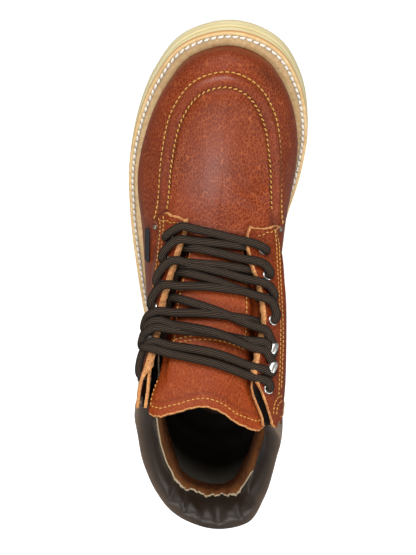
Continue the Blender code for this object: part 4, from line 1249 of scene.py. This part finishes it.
def stitchRow(points, normals, pitch, length, radius, slant=0.0, rise=0.5):
    # Even places along the row; each spindle is thick in the middle and dips at both ends
    along = lengthAlong(points)
    count = max(int(along[-1] / pitch), 1)
    at = (np.arange(count) + 0.5) * along[-1] / count
    place, normal = readAt(at, along, points), unit(readAt(at, along, normals))
    ahead = squared(readAt(at + 0.5, along, points) - readAt(at - 0.5, along, points), normal)
    side = np.cross(normal, ahead)
    ahead, side = turnedPair(ahead, side, slant)
    s = np.linspace(-1, 1, stitch["rows"])
    girth = radius * np.sqrt(np.clip(1 - (0.93 * s) ** 4, 0, 1))
    middle = (place[:, None] + ahead[:, None] * (s * length / 2)[None, :, None]
              + normal[:, None] * (rise * radius - 1.2 * radius * s**4)[None, :, None])
    return middle[:, :, None] + ringAround(side, normal, stitch["cuts"])[:, None] * girth[None, :, None, None]


def turnedPair(first, second, angle):  # two square directions turned in their own plane
    return (first * math.cos(angle) + second * math.sin(angle),
            second * math.cos(angle) - first * math.sin(angle))


def rowOnForm(u, v, lift, **kind):  # a row by stations and rails, lifted off the form
    u, v = np.broadcast_arrays(np.asarray(u, float), np.asarray(v, float))
    return stitchRow(liftedAt(u, v, lift), formNormal(u, v), **kind)


def rowOnStay(across, along, s):  # a row by shares across and along an eyestay
    u, v = stayU(across, along), stayV(across, along, s)
    lift = ridgeLift(s * u, v) + eyestay["top"] + facingShift(s * u, v)[1]
    return rowOnForm(s * u, v, lift, **stitch["stay"])


def rowOnTongue(u, v, **kind):  # a row by stations and rails, on the tongue
    return rowOnForm(u, v, tongueLift(u, v), **kind)


def goldRows():
    # The two moc rows, then each eyestay's rows and those under the collar
    plain = stitch["plain"]
    outer = np.linspace(-4.42, 4.42, 500)
    outerRail = np.full(500, upper["outerRow"])
    inner = np.linspace(-4.05, 4.05, 500)
    innerRail = np.full(500, upper["innerRow"] - 0.02)
    rows = [rowOnForm(outer, outerRail, skinLift(outer, outerRail),
                      pitch=3.6, length=3.0, radius=0.52, rise=0.9),
            rowOnForm(inner, innerRail, skinLift(inner, innerRail) + 0.2,
                      pitch=3.4, length=2.5, radius=0.48, slant=0.35, rise=1.5)]
    for s in (1, -1):
        up = np.linspace(0.05, 0.985 if s > 0 else 0.87, 300)
        for across in (0.90, 0.78):
            across = across - 0.12 * smoothStep(up, 0.2, 0.5) * (s < 0)
            rows.append(rowOnStay(across, up, s))
        across = np.linspace(0.16, 0.90, 160)
        rows.append(rowOnStay(across, 0.055 + 0.13 * across ** 2.2 * (s > 0), s))
        u = stayU(1.0, up[40:]) + 0.14
        rows.append(rowOnForm(s * u, stayV(1.0, up[40:], s), 0.2, **plain))
        under = np.linspace(4.80, 10.0, 500)
        for drop in (0.06, 0.13):
            rows.append(rowOnForm(s * under, topRail(under) - drop - 0.02, 0.15, **plain))
    # two arcs at the top of the inner flap, by station and rail
    for arc in ([(3.66, 5.9), (3.72, 5.8), (4.0, 5.7), (4.36, 5.62)],
                [(3.92, 5.88), (3.98, 5.8), (4.18, 5.72), (4.42, 5.66)]):
        u, v = curveThrough(arc, np.linspace(0, 3, 90)).T
        lift = eyestay["top"] + facingShift(-u, v)[1]
        rows.append(rowOnForm(-u, v, lift, pitch=2.4, length=2.0, radius=0.34))
    # round the top of the tongue, from one side to the other
    x = np.concatenate([np.full(60, 0.93), np.linspace(0.93, -0.93, 400)])
    v = tongueTop(x) - 0.095 - np.concatenate([np.linspace(0.3, 0, 60), np.zeros(400)])
    u = (tongue["footU"] + (tongue["topU"] - tongue["footU"]) * 0.94) * x
    rows.append(rowOnTongue(u, v, pitch=3.0, length=2.1, radius=0.38))
    # across the tongue, then up both its sides
    rows += [rowOnTongue(np.linspace(2.1, -2.1, 300), np.full(300, rail), **plain) for rail in (5.36, 5.41)]
    rows += [rowOnTongue(np.full(200, 2.08 * s), np.linspace(4.3, 5.4, 200), **plain) for s in (1, -1)]
    return np.concatenate(rows)


def makeStitches():  # gold rows on the leather, and one ivory row round the welt
    gold = manySheets("goldStitches", goldRows(), [goldThread], uv=stitchUv)
    u = np.linspace(0, 20, 2400)
    ring = edgeAt(u, weltAt(u) - sole["step"] - sole["stitchIn"])
    ring[:, 2] = soleTop(ring[:, 1]) - 0.15
    up = np.tile([0.0, 0.0, 1.0], (len(u), 1))
    sewn = stitchRow(ring, up, **stitch["welt"])
    ivory = manySheets("weltStitches", sewn, [ivoryThread], uv=stitchUv)


def makeTab():
    # Plain folded tape sewn to the outer quarter
    t = np.linspace(0, 1, 12)
    s, r = np.meshgrid(t, t, indexing="ij")
    u = 4.66 + 0.06 * (1 - r) + 0.6 * s
    v = 1.72 + 0.1 * s + (0.14 + 0.4 * s) * r
    piece = sheetMesh("sideTab", liftedAt(u, v, 0.9 + 0.15 * np.sin(np.pi * s)), [tabFinish])
    thicken(piece, 0.7, 0, 0)


makeStitches()
makeTab()
print("stitches made")


# Floor, light and camera
stage = {"target": (-2.72, 143.56, 70.0), "distance": 1000.0, "tilt": 33.22, "roll": 1.55, "yaw": 1.38,
         "focal": 1504.5, "height": 555, "sensor": 36.0, "horizon": 0.25, "zenith": 0.45,
         # place, aim, size and power of each lamp
         "lamps": {"overhead": ((-0.1, 0.1, 1.5), (0, 0, 0.05), (0.5, 0.5), 8.5),
                   "front": ((-0.15, 1.5, 0.55), (0, 0, 0.05), (1.2, 0.8), 18),
                   "innerSide": ((1.3, -0.1, 0.7), (0, 0, 0.08), (0.7, 0.9), 6.5),
                   "outerSide": ((-1.3, -0.3, 0.7), (0, 0, 0.08), (0.7, 0.9), 2.5)}}


def putAt(piece, right, up, back, place):  # turns and moves an object to three square directions and a point
    piece.matrix_world = Matrix((*zip(right, up, back, place), (0, 0, 0, 1)))
    bpy.context.scene.collection.objects.link(piece)


def makeFloor():  # a pale plane just below the sole
    f = Finish("paleFloor", Emission_Color=(1, 1, 1, 1), Emission_Strength=0.55)
    f.dress(f.mix(f.noise(3.0), (0.86, 0.86, 0.86, 1), (0.9, 0.9, 0.9, 1)), 0.8)
    mesh = bpy.data.meshes.new("floor")
    mesh.from_pydata([(-4, -4, 0), (4, -4, 0), (4, 4, 0), (-4, 4, 0)], [], [(0, 1, 2, 3)])
    mesh.materials.append(f.material)
    floor = bpy.data.objects.new("floor", mesh)
    floor.location.z = -0.0004
    floor.visible_glossy = floor.visible_diffuse = False  # a white floor would grey the sides
    bpy.context.scene.collection.objects.link(floor)


def makeLight(name, place, aim, size, power):  # a soft rectangle turned towards its aim
    data = bpy.data.lights.new(name, "AREA")
    data.shape = "RECTANGLE"
    data.size, data.size_y = size
    data.energy = power
    lamp = bpy.data.objects.new(name, data)
    back = unit(np.array(place) - np.array(aim))
    right = unit(np.cross([0.0, 1.0, 0.01], back))
    putAt(lamp, right, np.cross(back, right), back, place)


def makeCamera():
    # Looks down and back from above the toe; right and up are turned by the roll
    tilt, roll, yaw = (math.radians(stage[k]) for k in ("tilt", "roll", "yaw"))
    look = [-math.sin(yaw) * math.cos(tilt), -math.sin(tilt), -math.cos(tilt) * math.cos(yaw)]
    look = unit(np.array(look))
    right = unit(np.cross(look, [0, 1, 0]))
    right, up = turnedPair(right, np.cross(right, look), roll)
    place = toWorld(np.array(stage["target"]) - look * stage["distance"])
    data = bpy.data.cameras.new("camera")
    data.sensor_fit = "VERTICAL"
    data.sensor_height = stage["sensor"]
    data.lens = stage["focal"] * stage["sensor"] / stage["height"]
    data.clip_start = 0.01
    camera = bpy.data.objects.new("camera", data)
    putAt(camera, right, up, -look, place)
    bpy.context.scene.camera = camera


def makeSky():
    # Bright overhead, dimmer towards the horizon
    world = bpy.data.worlds.new("studio")
    world.use_nodes = True
    sky = Graph(world.node_tree)
    height = sky.node("SeparateXYZ", None, {0: sky.node("TexCoord", out="Generated")}, "Z")
    ramp = sky.node("MapRange", None, {"Value": height, "From Min": -0.1, "To Min": stage["horizon"],
                                       "To Max": stage["zenith"]})
    light = world.node_tree.nodes["Background"].inputs
    sky.feed(light["Strength"], ramp)
    sky.feed(light["Color"], (1.0, 1.0, 1.0, 1.0))
    bpy.context.scene.world = world


makeFloor()
makeSky()
for name, lamp in stage["lamps"].items():
    makeLight(name, *lamp)
makeCamera()
bpy.context.scene.view_settings.view_transform = "Standard"
print("stage made")
